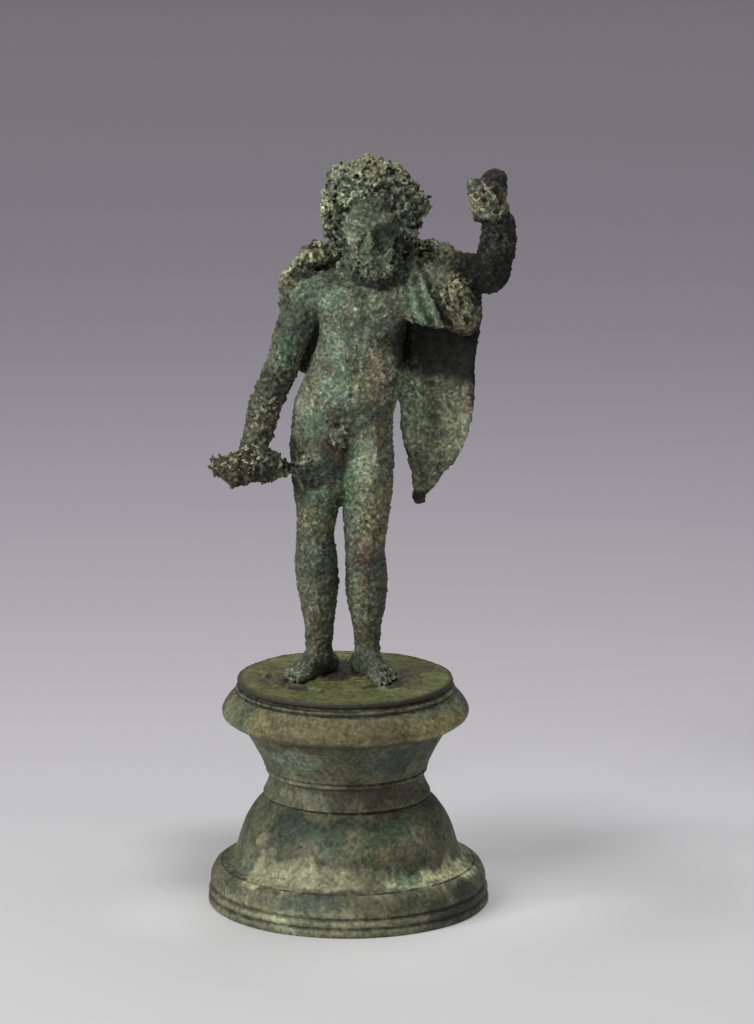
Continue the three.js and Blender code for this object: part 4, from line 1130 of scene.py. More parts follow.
PEDESTAL_PATCHES = {
    "ochre": (
        (arc(-48, -10, 52.8, 31.5), 6.5, 0.9),
        (arc(-10, 24, 52.4, 31.5), 5.4, 0.9),
        (arc(36, 66, 51.5, 31.5), 5, 0.75),
        (round_at(18, 20, 27), 4.5, 0.35),
        (round_at(150, 22, 27), 8, 0.5),
        (arc(-150, -120, 50, 31), 8, 0.6),
    ),
    "verdigris": (
        (arc(-46, -36, 42, 24), 5, 0.8),
        (arc(22, 36, 42, 24), 5.4, 0.6),
        (arc(-20, -8, 7, 36), 4.6, 0.5),
        (round_at(-60, 13, 30), 4, 0.8),
        (round_at(120, 42, 24), 8, 0.7),
        (round_at(-120, 12, 32), 9, 0.6),
    ),
    "malachite": (
        (arc(-42, -6, 24.5, 25.4), 5, 1),
        (arc(12, 34, 25, 25.2), 4.6, 0.8),
        (arc(28, 34, 13, 29.8), 4, 0.95),
        (round_at(-48, 27, 23), 3.6, 0.8),
        (arc(160, 176, 16, 29), 7, 0.8),
        (round_at(-100, 24, 26), 7, 0.7),
        (arc(-66, -50, 53, 31), 5, 0.35),
    ),
    "cream": (
        (arc(-48, -22, 13.5, 30), 6.4, 0.7),
        (arc(-22, 16, 13, 30), 5.6, 0.45),
        (arc(30, 70, 12.5, 31), 4.4, 0.5),
        (round_at(-54, 19, 27), 3.6, 0.7),
        (arc(-50, -20, 37, 21.5), 1.8, 0.45),
        (arc(-56, -10, 5.4, 36.6), 2.4, 0.4),
        (arc(100, 130, 13, 30), 6, 0.7),
        (arc(-178, -150, 52, 31), 6, 0.4),
    ),
    "umber": (
        (arc(-40, 30, 49, 30.5), 2.8, 0.7),
        (arc(-6, 40, 32, 20.6), 4, 0.5),
        (round_at(2, 24, 25), 3.4, 0.5),
        (arc(18, 24, 19, 27), 2.8, 0.6),
        (round_at(60, 44, 25), 4, 0.4),
        (round_at(-160, 32, 20), 8, 0.5),
    ),
    "soot_and_shadow": (
        (arc(14, 40, 26.5, 23.6), 3, 0.4),
        (arc(75, 95, 25, 25), 7, 0.4),
    ),
}
PEDESTAL_SEAMS_AND_SHADOWS = (  # darker in the turned grooves, painted shadow under the torus and in the gap under the plate, and dark pits under the plate's rim
    (arc(-180, 180, 58.4, 28.4), 1.1, 1),
    (arc(-180, 180, 56.35, 28.5), 0.6, 0.9),
    (arc(-180, 180, 48.5, 29.2), 1.1, 0.7),
    (arc(-180, 180, 36.25, 20.8), 0.6, 0.8),
    (arc(-180, 180, 28.75, 21.1), 0.7, 0.8),
    (arc(-180, 180, 10.5, 33), 0.7, 0.8),
    (arc(-180, 180, 4.7, 35.6), 0.7, 0.7),
    (arc(-180, 180, 2.3, 36.2), 0.7, 0.7),
    *((round_at(azimuth, 57.3, 28.6), 0.95, 1) for azimuth in (-64, -59, -54, -50, -43, -37)),
)
# Painted light and shade on the pedestal in stops, partly its own tone: lighter on the torus's ends
# and on the flare that faces up at the lower right, darker under the torus and on the right of the
# bell and foot.
PEDESTAL_PAINTED_SHADE_AND_TONE = (
    (arc(-74, -52, 52, 31), 7, 0.5),
    (arc(30, 70, 33, 20.5), 5, -0.15),
    (arc(44, 74, 52, 31), 8, 0.85),
    (arc(-24, 44, 48.6, 29.5), 2.6, -0.5),
    (arc(-52, -26, 43, 24.5), 5, 0.95),
    (arc(-14, 16, 43, 24.5), 5, 0.25),
    (arc(30, 60, 43, 24.5), 5, -0.75),
    (arc(-50, -22, 33, 20.5), 4, 0.45),
    (arc(-8, 24, 33, 20.5), 4.4, -0.85),
    (arc(-44, -2, 26, 24.4), 4, -0.45),
    (arc(-12, 40, 22, 26), 6, 0.6),
    (arc(26, 80, 12, 31.5), 5, 1.6),
    (arc(-62, 0, 12.5, 30.5), 5.6, 0.8),
    (arc(-62, -30, 5, 36), 6, 0.4),
    (arc(-30, 0, 3, 36.5), 5, 0.7),
    (arc(0, 24, 3, 36.5), 5, 0.35),
    (arc(40, 80, 4, 36.5), 5, -1.2),
)

RIGHT_FOOT = ((-4.7, 5.4), (-15.4, -6.6))  # from heel to toes, on the plate
LEFT_FOOT = ((2.8, 5.9), (10.8, -9))
SOLDER_WIDTH = 5.4
PLATE_LIPS = (  # path, width, height of thin metal lifted off the plate
    (((-15.6, -11), (-12, -12.4), (-7.4, -15.8)), 1, 1.1),
    (((5.6, -13.6), (9.6, -13.4), (12.6, -11.6)), 1, 0.6),
    (((-22.4, 2.4), (-21.4, 0.2)), 1.3, 1.4),
    (((-17, -8.6), (-17.6, -6)), 1, 0.6),
    (((14, -9), (15, -5)), 1, 0.4),
)
PLATE_GAP_SHADOWS = (  # painted shadow in the gaps under the lifted metal and the toes
    (((-15, -12.8), (-11.4, -14.2)), 1.1, 1),
    (((6.4, -12.6), (9.6, -12.2), (13.6, -9)), 1.5, 1),
    ((-20.8, -1.2), 1.2, 1),
    ((-17.6, -9.8), 1, 0.9),
    ((13.6, -6.8), 1.2, 0.7),
)


RIM_WIDTH = 1.6


RIM_WIDTH = 1.6


def build_plate(sizes):
    thickness = PLATE_HIGH.z - PLATE_LOW.z
    radius = (PLATE_HIGH.y - PLATE_LOW.y) / 2
    middle = (PLATE_AXIS_X, 0, PLATE_LOW.z + thickness / 2)
    bpy.ops.mesh.primitive_cylinder_add(
        vertices=160, radius=radius, depth=thickness, location=middle
    )
    plate = bpy.context.object
    plate.name = plate.data.name = "plate_disc"
    bpy.ops.object.transform_apply(location=True, rotation=True, scale=True)
    modify(plate, "BEVEL", width=0.65 * MM, segments=3)
    step = sizes.plate_step * 1
    modify(plate, "REMESH", mode="VOXEL", voxel_size=step)
    soften(plate, 2)
    points = figure_mm(plate)
    normals = normals_of(plate)
    level = points * [1, 1, 0]
    from_above = level[:, :2]
    up = ease(normals[:, 2], 0.0, 0.5)
    from_axis = np.hypot(level[:, 0] - middle[0] / MM + FIGURE_PLACE[0] / MM, level[:, 1])
    from_edge = from_axis - radius / MM
    # worn top with pits, and a rim that stands a little higher
    pits = ease(grain(points, 1.1, 2, 2.0), 0.3, 0.55)
    lift = 0.16 * grain(level, 12.0, 2) + 0.10 * grain(points, 1.9, 3, 1.0) - 0.2 * pits
    lift += 0.1 * ease(from_edge, -RIM_WIDTH, -0.4)
    # solder about the feet, and thin metal that lifts off
    solder = np.zeros(len(points))
    for foot in (RIGHT_FOOT, LEFT_FOOT):
        away = from_path(from_above, foot, 12)
        solder = np.maximum(solder, ease(-away, -SOLDER_WIDTH - 1.6, -SOLDER_WIDTH + 0.8))
    lift += solder * (0.5 + 0.5 * grain(points, 2.0, 3, 5.0))
    ragged = 0.8 + 0.5 * grain(points, 1.4, 2, 6.0)
    for path, width, height in PLATE_LIPS:
        away = from_path(from_above, path, width) / width
        lift += height * (1 - away**2) * ragged
    points = points + normals * (lift * up)[:, None]
    edge = (1 - up) * ease(-np.abs(normals[:, 2]), -0.5, -0.2)
    points = points + normals * (0.14 * grain(points, 2.0, 3, 7.0) * edge)[:, None]
    move_points(plate, points * MM + FIGURE_PLACE)
    # painted shadow in the gaps, painted shade on the underside and a darker rim, and the colours
    wandered = from_above + 0.4 * rolling(level, 1.6, 7.0)[:, :2]
    gaps = patches(wandered, PLATE_GAP_SHADOWS) * up
    underside_shade_and_rim = ease(-normals[:, 2], -0.95, -0.7)
    underside_shade_and_rim = np.maximum(underside_shade_and_rim, 0.7 * ease(from_edge, -RIM_WIDTH - 0.1, -0.9))
    store(plate, "seam_and_shadow", np.maximum(gaps, 0.85 * underside_shade_and_rim))
    points += 2.4 * rolling(points, 5.0, 5.0) + 1.0 * rolling(points, 1.8, 6.0)
    store_patches(plate, points, PLATE_PATCHES)
    store(plate, "hollow", 0.5 + hollows(plate, 6) / 0.4)
    return dressed(plate, plate_bronze(bpy.context.scene.statuette_patina))


PLATE_PATCHES = {
    "malachite": (
        (((-8, -20, 0), (10, -21, 0)), 7, 0.8),
        (((20, -10, 0), (24, -2, 0)), 6, 0.9),
        (((-20, -14, 0), (-24, -4, 0)), 5, 0.7),
        ((-20, 10, 0), 6, 0.5),
        (((6, 22, 0), (14, 20, 0)), 7, 0.6),
    ),
    "umber": (
        (((-18, -6, 0), (-14, 4, 0)), 5.5, 0.9),
        (((-16, -10, 0), (-10, -16, 0)), 3, 0.5),
        (((15, -6, 0), (15, 4, 0), (20, 8, 0)), 5, 0.8),
        (((-2, 0, 0), (-1, 14, 0)), 6, 0.8),
        (((-10, 14, 0), (8, 15, 0)), 5, 0.6),
    ),
    # painted shadow between the feet and under the toes
    "soot_and_shadow": (
        (((-1.5, 2, 0), (-0.5, 12, 0)), 7.5, 1),
        ((-8, 2, 0), 4, 0.5),
        (((-16, -6, 0), (-12, -12, 0)), 3, 0.5),
        (((6, -12, 0), (13, -11, 0)), 3, 0.6),
    ),
}


# Materials


DARKEST_SWING = -0.42  # the gaps between grains darken the tone no more than this
PURE_SHARE, DUST_SHARE = 0.62, 0.38  # how much a swing scales the tone, and adds grey dust to it
DUST_TONE = (0.055, 0.058, 0.052)
LEAST_TONE = (0.004, 0.004, 0.004)


class Finish:
    """A material under construction. Patterns read the piece's own Object coordinates."""

    def __init__(self, name):
        self.material = bpy.data.materials.new(name)
        self.material.use_nodes = True
        self.tree = self.material.node_tree
        self.tree.nodes.clear()
        self.place = self.node("ShaderNodeTexCoord").outputs["Object"]

    def node(self, kind, inputs=None, **settings):
        """A new node. Its settings are made first, because they decide which inputs it has."""
        node = self.tree.nodes.new(kind)
        for key, value in settings.items():
            setattr(node, key, value)
        for key, value in (inputs or {}).items():
            self.feed(node.inputs[key], value)
        return node

    def feed(self, socket, value):
        """Links an output to the socket, or sets the socket's own constant."""
        if isinstance(value, bpy.types.NodeSocket):
            self.tree.links.new(value, socket)
        elif socket.type == "RGBA" and len(value) == 3:
            socket.default_value = (*value, 1.0)
        else:
            socket.default_value = value

    def attribute(self, name):
        return self.node("ShaderNodeAttribute", attribute_name=name).outputs["Fac"]

    def number(self, kind, a, b):
        return self.node("ShaderNodeMath", {0: a, 1: b}, operation=kind).outputs["Value"]

    def plus(self, a, b):
        return self.number("ADD", a, b)

    def minus(self, a, b):
        return self.number("SUBTRACT", a, b)

    def times(self, a, b):
        return self.number("MULTIPLY", a, b)

    def vector(self, kind, a, b):
        return self.node("ShaderNodeVectorMath", {0: a, 1: b}, operation=kind).outputs["Vector"]

    def scaled(self, tone, factor):
        inputs = {0: tone, "Scale": factor}
        return self.node("ShaderNodeVectorMath", inputs, operation="SCALE").outputs["Vector"]

    def distance_from(self, place):
        inputs = {0: self.place, 1: place}
        return self.node("ShaderNodeVectorMath", inputs, operation="DISTANCE").outputs["Value"]

    def mix(self, share, a, b, blend="MIX"):
        inputs = {0: share, 6: a, 7: b}
        return self.node("ShaderNodeMix", inputs, data_type="RGBA", blend_type=blend).outputs[2]

    def blend(self, share, a, b):
        return self.node("ShaderNodeMix", {0: share, 2: a, 3: b}, data_type="FLOAT").outputs[0]

    def ramp(self, value, low, high, start=0.0, end=1.0):
        """Goes smoothly from start, where the value is low, to end, where it is high."""
        inputs = {"Value": value, 1: low, 2: high, 3: start, 4: end}
        settings = {"interpolation_type": "SMOOTHSTEP", "clamp": True}
        return self.node("ShaderNodeMapRange", inputs, **settings).outputs["Result"]

    def moved(self, x, y, z):
        inputs = {"Vector": self.place, "Location": (x, y, z)}
        return self.node("ShaderNodeMapping", inputs).outputs["Vector"]

    def grains(self, size, detail=3.0, rough=0.6, shift=0.0, bend=0.0):
        """Cloudy noise in lumps of about the size, around a half."""
        inputs = {
            "Vector": self.moved(shift, 2 * shift, -shift),
            "Scale": 1 / (size * MM),
            "Detail": detail,
            "Roughness": rough,
            "Distortion": bend,
        }
        return self.node("ShaderNodeTexNoise", inputs).outputs["Fac"]

    def cells(self, size, shift):
        """Distance from the middles of random grains, whose outlines are bent by noise."""
        place = self.moved(shift, -shift, shift)
        inputs = {"Vector": place, "Scale": 0.8 / (size * MM), "Detail": 2.0}
        drift = self.node("ShaderNodeTexNoise", inputs).outputs["Color"]
        bent = self.vector("ADD", self.place, self.scaled(drift, 0.8 * size * MM))
        inputs = {"Vector": bent, "Scale": 1 / (size * MM)}
        return self.node("ShaderNodeTexVoronoi", inputs).outputs["Distance"]

    def patch(self, name, noise_value, strength=0.8, spread=0.5):
        """How much an attribute's patch shows: noise breaks up its edge."""
        edge = self.times(self.minus(noise_value, 0.5), 2 * spread)
        return self.ramp(self.plus(self.attribute(name), edge), 0.15, 0.75, 0.0, strength)

    def corrosion(self, size, shift=0.0):
        """A height between 0 and 1: grains of about the size, with gaps between them."""
        grain = self.ramp(self.cells(size, 0.9 + shift), 0.6, 0.16)
        fine = self.ramp(self.grains(0.9 * size, 2, 0.55, 0.3 + shift), 0.41, 0.59)
        coarse = self.ramp(self.grains(2.6 * size, 3, 0.6, 0.6 + shift), 0.36, 0.64)
        height = self.plus(self.times(grain, 0.34), self.times(fine, 0.36))
        return self.plus(height, self.times(coarse, 0.30))

    def grained(self, tone, height, contrast, peaks=3.0):
        """Lighter on the tops of grains and darker in their gaps, where the tone is purer."""
        above = self.minus(height, 0.5)
        steep = self.plus(self.times(self.times(above, above), peaks), 0.6)
        swing = self.times(self.times(above, steep), contrast)
        swing = self.number("MAXIMUM", swing, DARKEST_SWING)
        share = self.number("MAXIMUM", self.plus(self.times(swing, PURE_SHARE), 1.0), 0.12)
        grey = self.mix(1.0, self.scaled(tone, 0.55), DUST_TONE, "ADD")
        dust = self.scaled(grey, self.times(swing, DUST_SHARE))
        dusty = self.vector("ADD", self.scaled(tone, share), dust)
        return self.vector("MAXIMUM", dusty, LEAST_TONE)

    def mottled(self, tone, size, shift, depth):
        """The tone made lighter and darker in soft spots of about the size."""
        spots = self.ramp(self.grains(size, 3, 0.6, shift), 0.34, 0.66, -1.0, 1.0)
        return self.scaled(tone, self.plus(self.times(spots, depth), 1.0))

    def pitted(self, tone, size, shift, depth):
        """The tone with small sharp dark pits about this far apart."""
        pit = self.ramp(self.cells(size, shift), 0.3, 0.16, 0.0, depth)
        here = self.ramp(self.grains(2.4 * size, 2, 0.5, shift + 0.2), 0.44, 0.54)
        return self.scaled(tone, self.minus(1.0, self.times(pit, here)))

    def shaded(self, tone):
        """The tone made darker or lighter by the stops of painted shade and light that the
        attribute holds.
        """
        stops = self.times(self.minus(self.attribute("shade"), 0.5), 2 * SHADE_REACH)
        return self.scaled(tone, self.number("POWER", 2.0, stops))

    def blotch(self, tone, colour, size, shift, low, high, strength):
        """Another colour in random patches of about the size."""
        share = self.ramp(self.grains(size, 4, 0.62, shift, 0.4), low, high, 0.0, strength)
        return self.mix(share, tone, colour)

    def bump(self, height, distance, strength, normal=None):
        inputs = {"Height": height, "Distance": distance * MM, "Strength": strength}
        if normal:
            inputs["Normal"] = normal
        return self.node("ShaderNodeBump", inputs).outputs["Normal"]

    def finish(self, colour, roughness, normal=None, specular=0.35):
        inputs = {"Base Color": colour, "Roughness": roughness, "Specular IOR Level": specular}
        if normal:
            inputs["Normal"] = normal
        shader = self.node("ShaderNodeBsdfPrincipled", inputs)
        self.node("ShaderNodeOutputMaterial", {"Surface": shader.outputs["BSDF"]})
        return self.material


def figure_bronze(patina):
    """Grey-green corroded bronze, with crusts of ochre, verdigris, malachite and cuprite."""
    f = Finish("figure_bronze")
    broad = f.grains(5.0, 3, 0.55, 0.11)
    middle = f.grains(1.5, 4, 0.65, 0.23, 0.4)
    fine = f.grains(0.6, 3, 0.7, 0.37)
    speck = f.grains(1.15, 3, 0.6, 0.51)
    crust = f.attribute("crust")
    hollow = f.attribute("hollow")

    tone = f.mix(f.ramp(broad, 0.35, 0.65), patina.bronze_dark, patina.bronze)
    tone = f.mix(f.patch("pale", middle, 0.85, 0.8), tone, patina.bronze_pale)
    tone = f.mix(f.patch("verdigris", middle, 0.75, 0.9), tone, patina.verdigris)
    tone = f.mix(f.patch("malachite", fine, 0.7, 0.8), tone, patina.malachite)
    ochre = f.patch("ochre", middle, 0.85)
    tone = f.mix(ochre, tone, patina.ochre)
    tone = f.mix(f.patch("umber", fine, 0.75), tone, patina.umber)
    tone = f.blotch(tone, patina.malachite, 2.6, 0.61, 0.55, 0.68, 0.45)
    tone = f.blotch(tone, patina.ochre, 2.2, 0.83, 0.56, 0.7, 0.45)
    tone = f.blotch(tone, patina.umber, 1.9, 0.77, 0.59, 0.7, 0.45)
    tone = f.mix(f.patch("soot_and_shadow", middle, 0.9, 0.3), tone, patina.soot_and_shadow)

    height = f.blend(f.ramp(crust, 0.42, 0.85), f.corrosion(1.0), f.corrosion(1.45, 0.4))
    tone = f.grained(tone, height, f.ramp(crust, 0.4, 0.9, 2.2, 2.6))
    tone = f.mottled(tone, 1.6, 0.47, f.ramp(crust, 0.42, 0.8, 0.2, 0.34))
    tone = f.pitted(tone, 1.5, 0.21, 0.55)
    tone = f.scaled(tone, 1.09)
    tone = f.shaded(tone)
    # Lighter on ridges and darker in hollows: painted highlight and painted shade, with some dirt
    # in the hollows.
    tone = f.scaled(tone, f.ramp(hollow, 0.47, 0.08, 1.0, 1.55))
    tone = f.scaled(tone, f.ramp(hollow, 0.56, 1.0, 1.0, f.ramp(crust, 0.42, 0.85, 0.85, 0.3)))
    fleck = f.times(f.attribute("fleck"), f.ramp(speck, 0.55, 0.64, 0.0, 0.85))
    tone = f.mix(fleck, tone, patina.cream)

    strength = f.ramp(crust, 0.0, 1.0, 0.45, 1.0)
    normal = f.bump(height, 0.34, strength, f.bump(middle, 0.4, 0.5))
    return f.finish(tone, f.ramp(middle, 0.3, 0.7, 0.6, 0.85), normal)


def pedestal_bronze(patina):
    """Turned bronze with broad mottled patina and fine pits."""
    f = Finish("pedestal_bronze")
    broad = f.grains(8.0, 3, 0.55, 0.13)
    middle = f.grains(2.0, 4, 0.65, 0.29, 0.3)
    fine = f.grains(0.7, 3, 0.7, 0.41)
    hollow = f.attribute("hollow")
    shelter_shade = f.attribute("shelter_shade")

    tone = f.mix(f.ramp(broad, 0.36, 0.64), patina.pedestal_dark, patina.pedestal)
    tone = f.mix(f.patch("cream", middle, 0.8, 0.7), tone, patina.pedestal_pale)
    tone = f.mix(f.patch("ochre", middle, 0.8, 0.8), tone, patina.ochre_brown)
    tone = f.mix(f.patch("verdigris", middle, 0.75, 0.8), tone, patina.blue_green)
    tone = f.mix(f.patch("malachite", middle, 0.85, 0.8), tone, patina.malachite_dark)
    tone = f.mix(f.patch("umber", fine, 0.6), tone, patina.umber)
    tone = f.mix(f.patch("soot_and_shadow", middle, 0.7, 0.3), tone, patina.soot_and_shadow)

    tone = f.blotch(tone, patina.malachite_dark, 4.0, 0.61, 0.55, 0.7, 0.4)
    tone = f.blotch(tone, patina.ochre_brown, 3.0, 0.83, 0.56, 0.7, 0.35)
    height = f.corrosion(1.3, 0.05)
    tone = f.grained(tone, height, 1.25, 1.0)
    tone = f.mottled(tone, 1.5, 0.47, 0.13)
    tone = f.pitted(tone, 1.5, 0.33, 0.45)
    tone = f.shaded(tone)
    # Lighter on ridges and darker in hollows: painted highlight and painted shade, with some dirt
    # in the hollows.
    tone = f.scaled(tone, f.ramp(hollow, 0.46, 0.15, 1.0, 1.35))
    tone = f.scaled(tone, f.ramp(hollow, 0.56, 0.95, 1.0, 0.6))
    # painted shade in the wide hollows of the profile
    tone = f.scaled(tone, f.ramp(shelter_shade, 0.55, 0.9, 1.0, 0.45))
    # painted shadow under the torus and the plate, darker grooves and dark pits
    seam_and_shadow = f.ramp(f.attribute("seam_and_shadow"), 0.15, 0.95, 0.0, f.ramp(middle, 0.36, 0.6, 0.2, 0.95))
    tone = f.mix(seam_and_shadow, tone, patina.soot_and_shadow)

    normal = f.bump(height, 0.1, 0.7, f.bump(middle, 0.16, 0.35))
    return f.finish(tone, f.ramp(middle, 0.3, 0.7, 0.5, 0.75), normal)


def plate_bronze(patina):
    """Olive-green bronze plate with brown stains about the feet."""
    f = Finish("plate_bronze")
    broad = f.grains(6.0, 3, 0.55, 0.17)
    middle = f.grains(1.8, 4, 0.65, 0.31, 0.3)
    fine = f.grains(0.7, 3, 0.7, 0.43)
    hollow = f.attribute("hollow")

    tone = f.mix(f.ramp(broad, 0.36, 0.64), patina.plate_dark, patina.plate)
    tone = f.mix(f.patch("malachite", middle, 0.6), tone, patina.plate_green)
    tone = f.mix(f.patch("umber", fine, 0.9), tone, patina.plate_brown)
    tone = f.mix(f.patch("soot_and_shadow", middle, 0.8, 0.3), tone, patina.soot_and_shadow)

    tone = f.blotch(tone, patina.plate_green, 4.0, 0.61, 0.52, 0.66, 0.5)
    height = f.corrosion(1.3, 0.15)
    tone = f.grained(tone, height, 0.8)
    tone = f.mottled(tone, 3.0, 0.47, 0.12)
    # Lighter on ridges and darker in hollows: painted highlight and painted shade, with some dirt
    # in the hollows.
    tone = f.scaled(tone, f.ramp(hollow, 0.46, 0.15, 1.0, 1.35))
    tone = f.scaled(tone, f.ramp(hollow, 0.54, 0.85, 1.0, 0.3))
    # painted shadow in the gaps and on the underside, and a darker rim
    tone = f.mix(f.ramp(f.attribute("seam_and_shadow"), 0.15, 0.85, 0.0, 0.9), tone, patina.rim_and_shadow_dark)

    normal = f.bump(height, 0.15, 0.6, f.bump(middle, 0.3, 0.4))
    return f.finish(tone, f.ramp(middle, 0.3, 0.7, 0.55, 0.8), normal)


# Studio

CAMERA_PLACE = (0.0043, -1.2945, 0.3948)
CAMERA_DIP_DEG = 12.66
CAMERA_LENS = 180.0
CAMERA_SENSOR = 36.0
LIGHTS_AIM = (0, 0, 0.1)
FLOOR_RADIUS = 7.0

PAPER_MIDDLE = (0.0, -0.35, 0.0)  # the lightest place on the paper
PAPER_LIGHT_AND_SHADOW_SPOTS = (  # place, radius and strength of painted light and painted shadow on the paper about the pedestal
    ((0.095, 0.085, 0), 0.1, 1.17),
    ((0.034, 0.006, 0), 0.06, 1.26),
    ((0.045, 0.062, 0), 0.05, 0.92),
    ((0.08, -0.002, 0), 0.05, 0.9),
    ((-0.042, -0.014, 0), 0.034, 1.18),
    ((0.008, -0.046, 0), 0.05, 1.1),
    ((-0.034, 0.05, 0), 0.034, 0.7),
    ((-0.037, 0.022, 0), 0.028, 0.76),
)


def paper_finish(stage):
    """Pale paper whose tone falls off away from the object as a painted fall-off of the light, and
    rises again at the paper's edge, with spots of painted light and shadow about the pedestal.
    """
    f = Finish("studio_paper")
    away = f.distance_from(PAPER_MIDDLE)
    tone = f.mix(f.ramp(away, 0.25, 0.85), stage.paper_near, stage.paper_middle)
    tone = f.mix(f.ramp(away, 0.7, 1.2), tone, stage.paper_far)
    tone = f.mix(f.ramp(away, 1.3, stage.paper_reach), tone, stage.paper_edge)
    for place, radius, strength in PAPER_LIGHT_AND_SHADOW_SPOTS:
        tone = f.scaled(tone, f.ramp(f.distance_from(place), radius, 0.0, 1.0, strength))
    return f.finish(tone, 0.9, specular=0.1)


def area_light(name, place, size, power):
    """A lamp aimed at the middle of the object."""
    bpy.ops.object.light_add(type="AREA", location=place)
    light = bpy.context.object
    light.name = name
    light.data.shape = "RECTANGLE"
    light.data.size = light.data.size_y = size
    light.data.energy = power
    light.rotation_euler = (Vector(LIGHTS_AIM) - Vector(place)).to_track_quat("-Z", "Y").to_euler()


def build_stage(stage):
    bpy.ops.mesh.primitive_circle_add(vertices=128, radius=FLOOR_RADIUS, fill_type="NGON")
    floor = bpy.context.object
    floor.name = floor.data.name = "studio_floor"
    floor.data.materials.append(paper_finish(stage))

    area_light("left_softbox", (-1.15, -0.95, 1.05), 1.0, stage.soft_power)
    area_light("left_lamp", (-1.25, -0.52, 0.78), 0.16, stage.lamp_power)
    area_light("top_softbox", (0.15, 0.1, 1.5), 1.1, stage.top_power)

    scene = bpy.context.scene
    world = bpy.data.worlds.new("studio_air")
    world.use_nodes = True
    background = world.node_tree.nodes["Background"]
    background.inputs["Color"].default_value = (*stage.air_colour, 1.0)
    background.inputs["Strength"].default_value = stage.air_strength
    scene.world = world
    scene.view_settings.view_transform = "Standard"
    scene.view_settings.look = "None"

    bpy.ops.object.camera_add(
        location=CAMERA_PLACE, rotation=(math.radians(90 - CAMERA_DIP_DEG), 0, 0)
    )
    camera = bpy.context.object
    camera.name = "studio_camera"
    camera.data.lens = CAMERA_LENS
    camera.data.sensor_width = CAMERA_SENSOR
    camera.data.sensor_fit = "AUTO"
    camera.data.clip_start, camera.data.clip_end = 0.05, 50
    scene.camera = camera


# Settings that a user would change


def length(name, description, default):
    return FloatProperty(
        name=name, description=description, default=default, min=1e-5, precision=5, unit="LENGTH"
    )


def colour(name, description, default):
    return FloatVectorProperty(
        name=name, description=description, default=default, min=0, max=1, subtype="COLOR"
    )


class StatuetteSizes(bpy.types.PropertyGroup):
    skin_step: length("Skin step", "Voxel size that the figure's skin is drawn with", 0.00027)
    plate_step: length("Plate step", "Voxel size that the plate is drawn with", 0.0004)
    softening: IntProperty(
        name="Softening", description="How often the soft joins are smoothed", default=14
    )
    skin_triangles: IntProperty(
        name="Skin triangles", description="Triangles kept in the figure's skin", default=196000
    )
    profile_step: length("Profile step", "Spacing of the points on the pedestal's profile", 0.00046)
    pedestal_segments: IntProperty(
        name="Pedestal segments", description="Faces round the pedestal", default=360
    )


class StatuettePatina(bpy.types.PropertyGroup):
    bronze: colour("Bronze", "Grey-green patina", (0.14, 0.155, 0.105))
    bronze_dark: colour("Dark bronze", "Thin dark patina", (0.088, 0.096, 0.064))
    bronze_pale: colour("Pale bronze", "Pale dusty patina", (0.22, 0.24, 0.165))
    verdigris: colour("Verdigris", "Blue-green corrosion", (0.135, 0.188, 0.128))
    malachite: colour("Malachite", "Fresh green corrosion", (0.085, 0.145, 0.075))
    malachite_dark: colour("Dark malachite", "Deep green corrosion", (0.048, 0.074, 0.043))
    blue_green: colour("Blue-green", "Blue-green stain of the pedestal", (0.085, 0.108, 0.082))
    ochre: colour("Ochre crust", "Yellow-olive crust", (0.165, 0.165, 0.088))
    ochre_brown: colour("Ochre brown", "Brown stain of the pedestal", (0.145, 0.12, 0.05))
    cream: colour("Cream flecks", "Bright flecks in the crust", (0.52, 0.5, 0.31))
    umber: colour("Umber", "Red-brown copper oxide", (0.125, 0.088, 0.058))
    # also the colour of painted shadow on the figure, between the feet on the plate, and in the
    # pedestal's seams under its plate and torus
    soot_and_shadow: colour("Soot", "Near-black dirt in hollows", (0.018, 0.019, 0.016))
    pedestal: colour("Pedestal", "Green-brown patina of the pedestal", (0.125, 0.13, 0.076))
    pedestal_dark: colour("Dark pedestal", "Thin dark patina of the pedestal", (0.075, 0.08, 0.048))
    pedestal_pale: colour("Pale pedestal", "Rubbed pale patina", (0.24, 0.25, 0.145))
    plate: colour("Plate", "Olive patina of the plate", (0.15, 0.158, 0.062))
    plate_dark: colour("Dark plate", "Dark patina of the plate", (0.11, 0.116, 0.048))
    plate_green: colour("Green plate", "Green patina of the plate", (0.105, 0.125, 0.042))
    plate_brown: colour("Brown plate", "Brown stain of the plate", (0.085, 0.07, 0.042))
    # the colour of the painted shadow in the gaps and under the plate, and of its darker rim
    rim_and_shadow_dark: colour("Rim brown", "Dark dirt on the plate's edge", (0.028, 0.026, 0.02))


class StatuetteStage(bpy.types.PropertyGroup):
    paper_near: colour("Near paper", "Paper about the object", (0.61, 0.605, 0.605))
    paper_middle: colour("Middle paper", "Paper just behind the object", (0.42, 0.4, 0.435))
    paper_far: colour("Far paper", "Paper far behind the object", (0.345, 0.325, 0.365))
    paper_edge: colour("Edge of the paper", "Paper at the top of the picture", (0.5, 0.48, 0.505))
    paper_reach: length("Paper reach", "Distance to the edge of the paper", 2.3)
    air_colour: colour("Air", "Colour of the light from all sides", (0.96, 0.97, 1.0))
    air_strength: FloatProperty(
        name="Air strength", description="Light from all sides", default=0.2
    )
    soft_power: FloatProperty(
        name="Softbox power", description="Soft light from the left", default=20.0, subtype="POWER"
    )
    lamp_power: FloatProperty(
        name="Lamp power",
        description="Small light from the left that draws the shadow on the floor",
        default=2.4,
        subtype="POWER",
    )
    top_power: FloatProperty(
        name="Top power", description="Soft light from above", default=12.0, subtype="POWER"
    )


# Operators and panel


def place_piece(piece, node):
    """Ties a finished piece to the frame in a node's stead."""
    deselect_all()
    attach(piece, "root")
    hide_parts(node)


class STATUETTE_OT_figure(bpy.types.Operator):
    """Model the corroded casting of the god with cloak and thunderbolt"""

    bl_idname = "statuette.figure"
    bl_label = "Figure"

    def execute(self, context):
        deselect_all()
        place_piece(build_figure(context.scene.statuette_sizes), "figure")
        return {"FINISHED"}


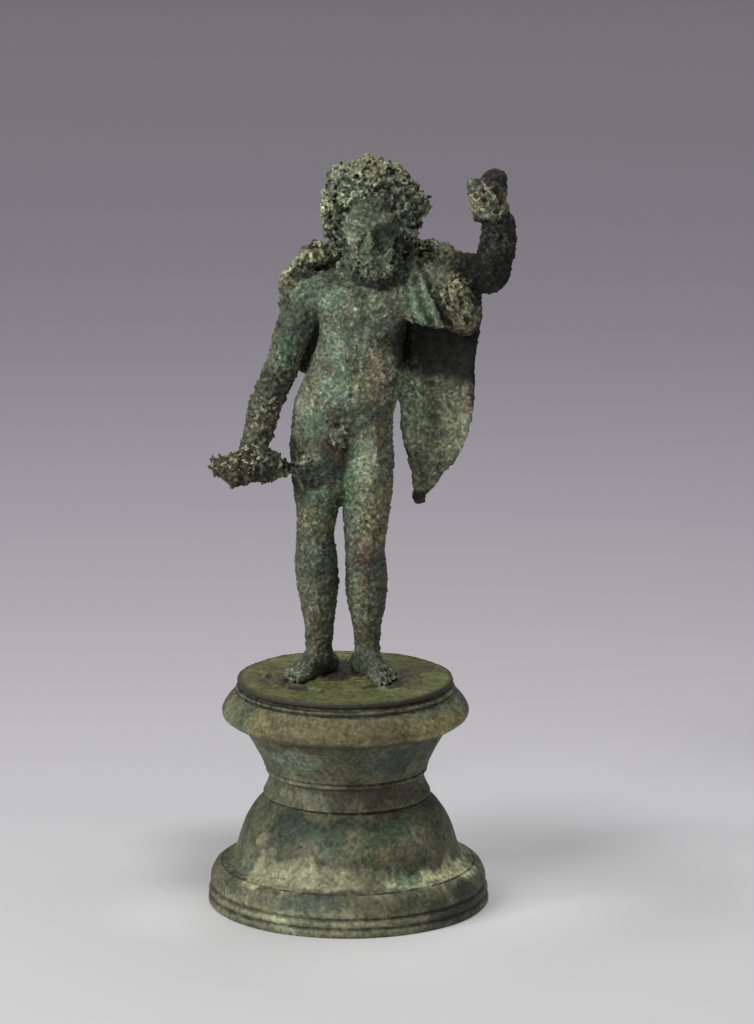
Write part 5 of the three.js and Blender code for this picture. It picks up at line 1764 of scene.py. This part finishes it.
class STATUETTE_OT_plate(bpy.types.Operator):
    """Model the thin round plate under the feet"""

    bl_idname = "statuette.plate"
    bl_label = "Plate"

    def execute(self, context):
        deselect_all()
        place_piece(build_plate(context.scene.statuette_sizes), "top_plate")
        return {"FINISHED"}


class STATUETTE_OT_pedestal(bpy.types.Operator):
    """Model the turned pedestal"""

    bl_idname = "statuette.pedestal"
    bl_label = "Pedestal"

    def execute(self, context):
        deselect_all()
        place_piece(build_pedestal(context.scene.statuette_sizes), "pedestal")
        return {"FINISHED"}


class STATUETTE_OT_stage(bpy.types.Operator):
    """Set up the floor, the lights and the camera"""

    bl_idname = "statuette.stage"
    bl_label = "Stage"

    def execute(self, context):
        deselect_all()
        build_stage(context.scene.statuette_stage)
        return {"FINISHED"}


OPERATORS = (
    STATUETTE_OT_stage,
    STATUETTE_OT_pedestal,
    STATUETTE_OT_plate,
    STATUETTE_OT_figure,
)


class STATUETTE_PT_panel(bpy.types.Panel):
    bl_idname = "STATUETTE_PT_panel"
    bl_label = "Bronze Statuette"
    bl_space_type = "VIEW_3D"
    bl_region_type = "UI"
    bl_category = "Statuette"

    def draw(self, context):
        for operator in OPERATORS:
            self.layout.operator(operator.bl_idname)
        for group in ("statuette_sizes", "statuette_patina", "statuette_stage"):
            settings = getattr(context.scene, group)
            box = self.layout.box()
            for key in settings.bl_rna.properties.keys():
                if key not in ("rna_type", "name"):
                    box.prop(settings, key)


GROUPS = {
    "statuette_sizes": StatuetteSizes,
    "statuette_patina": StatuettePatina,
    "statuette_stage": StatuetteStage,
}


def register():
    for cls in (*GROUPS.values(), *OPERATORS, STATUETTE_PT_panel):
        bpy.utils.register_class(cls)
    for name, group in GROUPS.items():
        setattr(bpy.types.Scene, name, PointerProperty(type=group))


def unregister():
    for name in GROUPS:
        delattr(bpy.types.Scene, name)
    for cls in (STATUETTE_PT_panel, *reversed(OPERATORS), *GROUPS.values()):
        bpy.utils.unregister_class(cls)


def main():
    register()
    bpy.ops.statuette.stage()
    bpy.ops.statuette.pedestal()
    bpy.ops.statuette.plate()
    bpy.ops.statuette.figure()


if __name__ == "__main__":
    main()
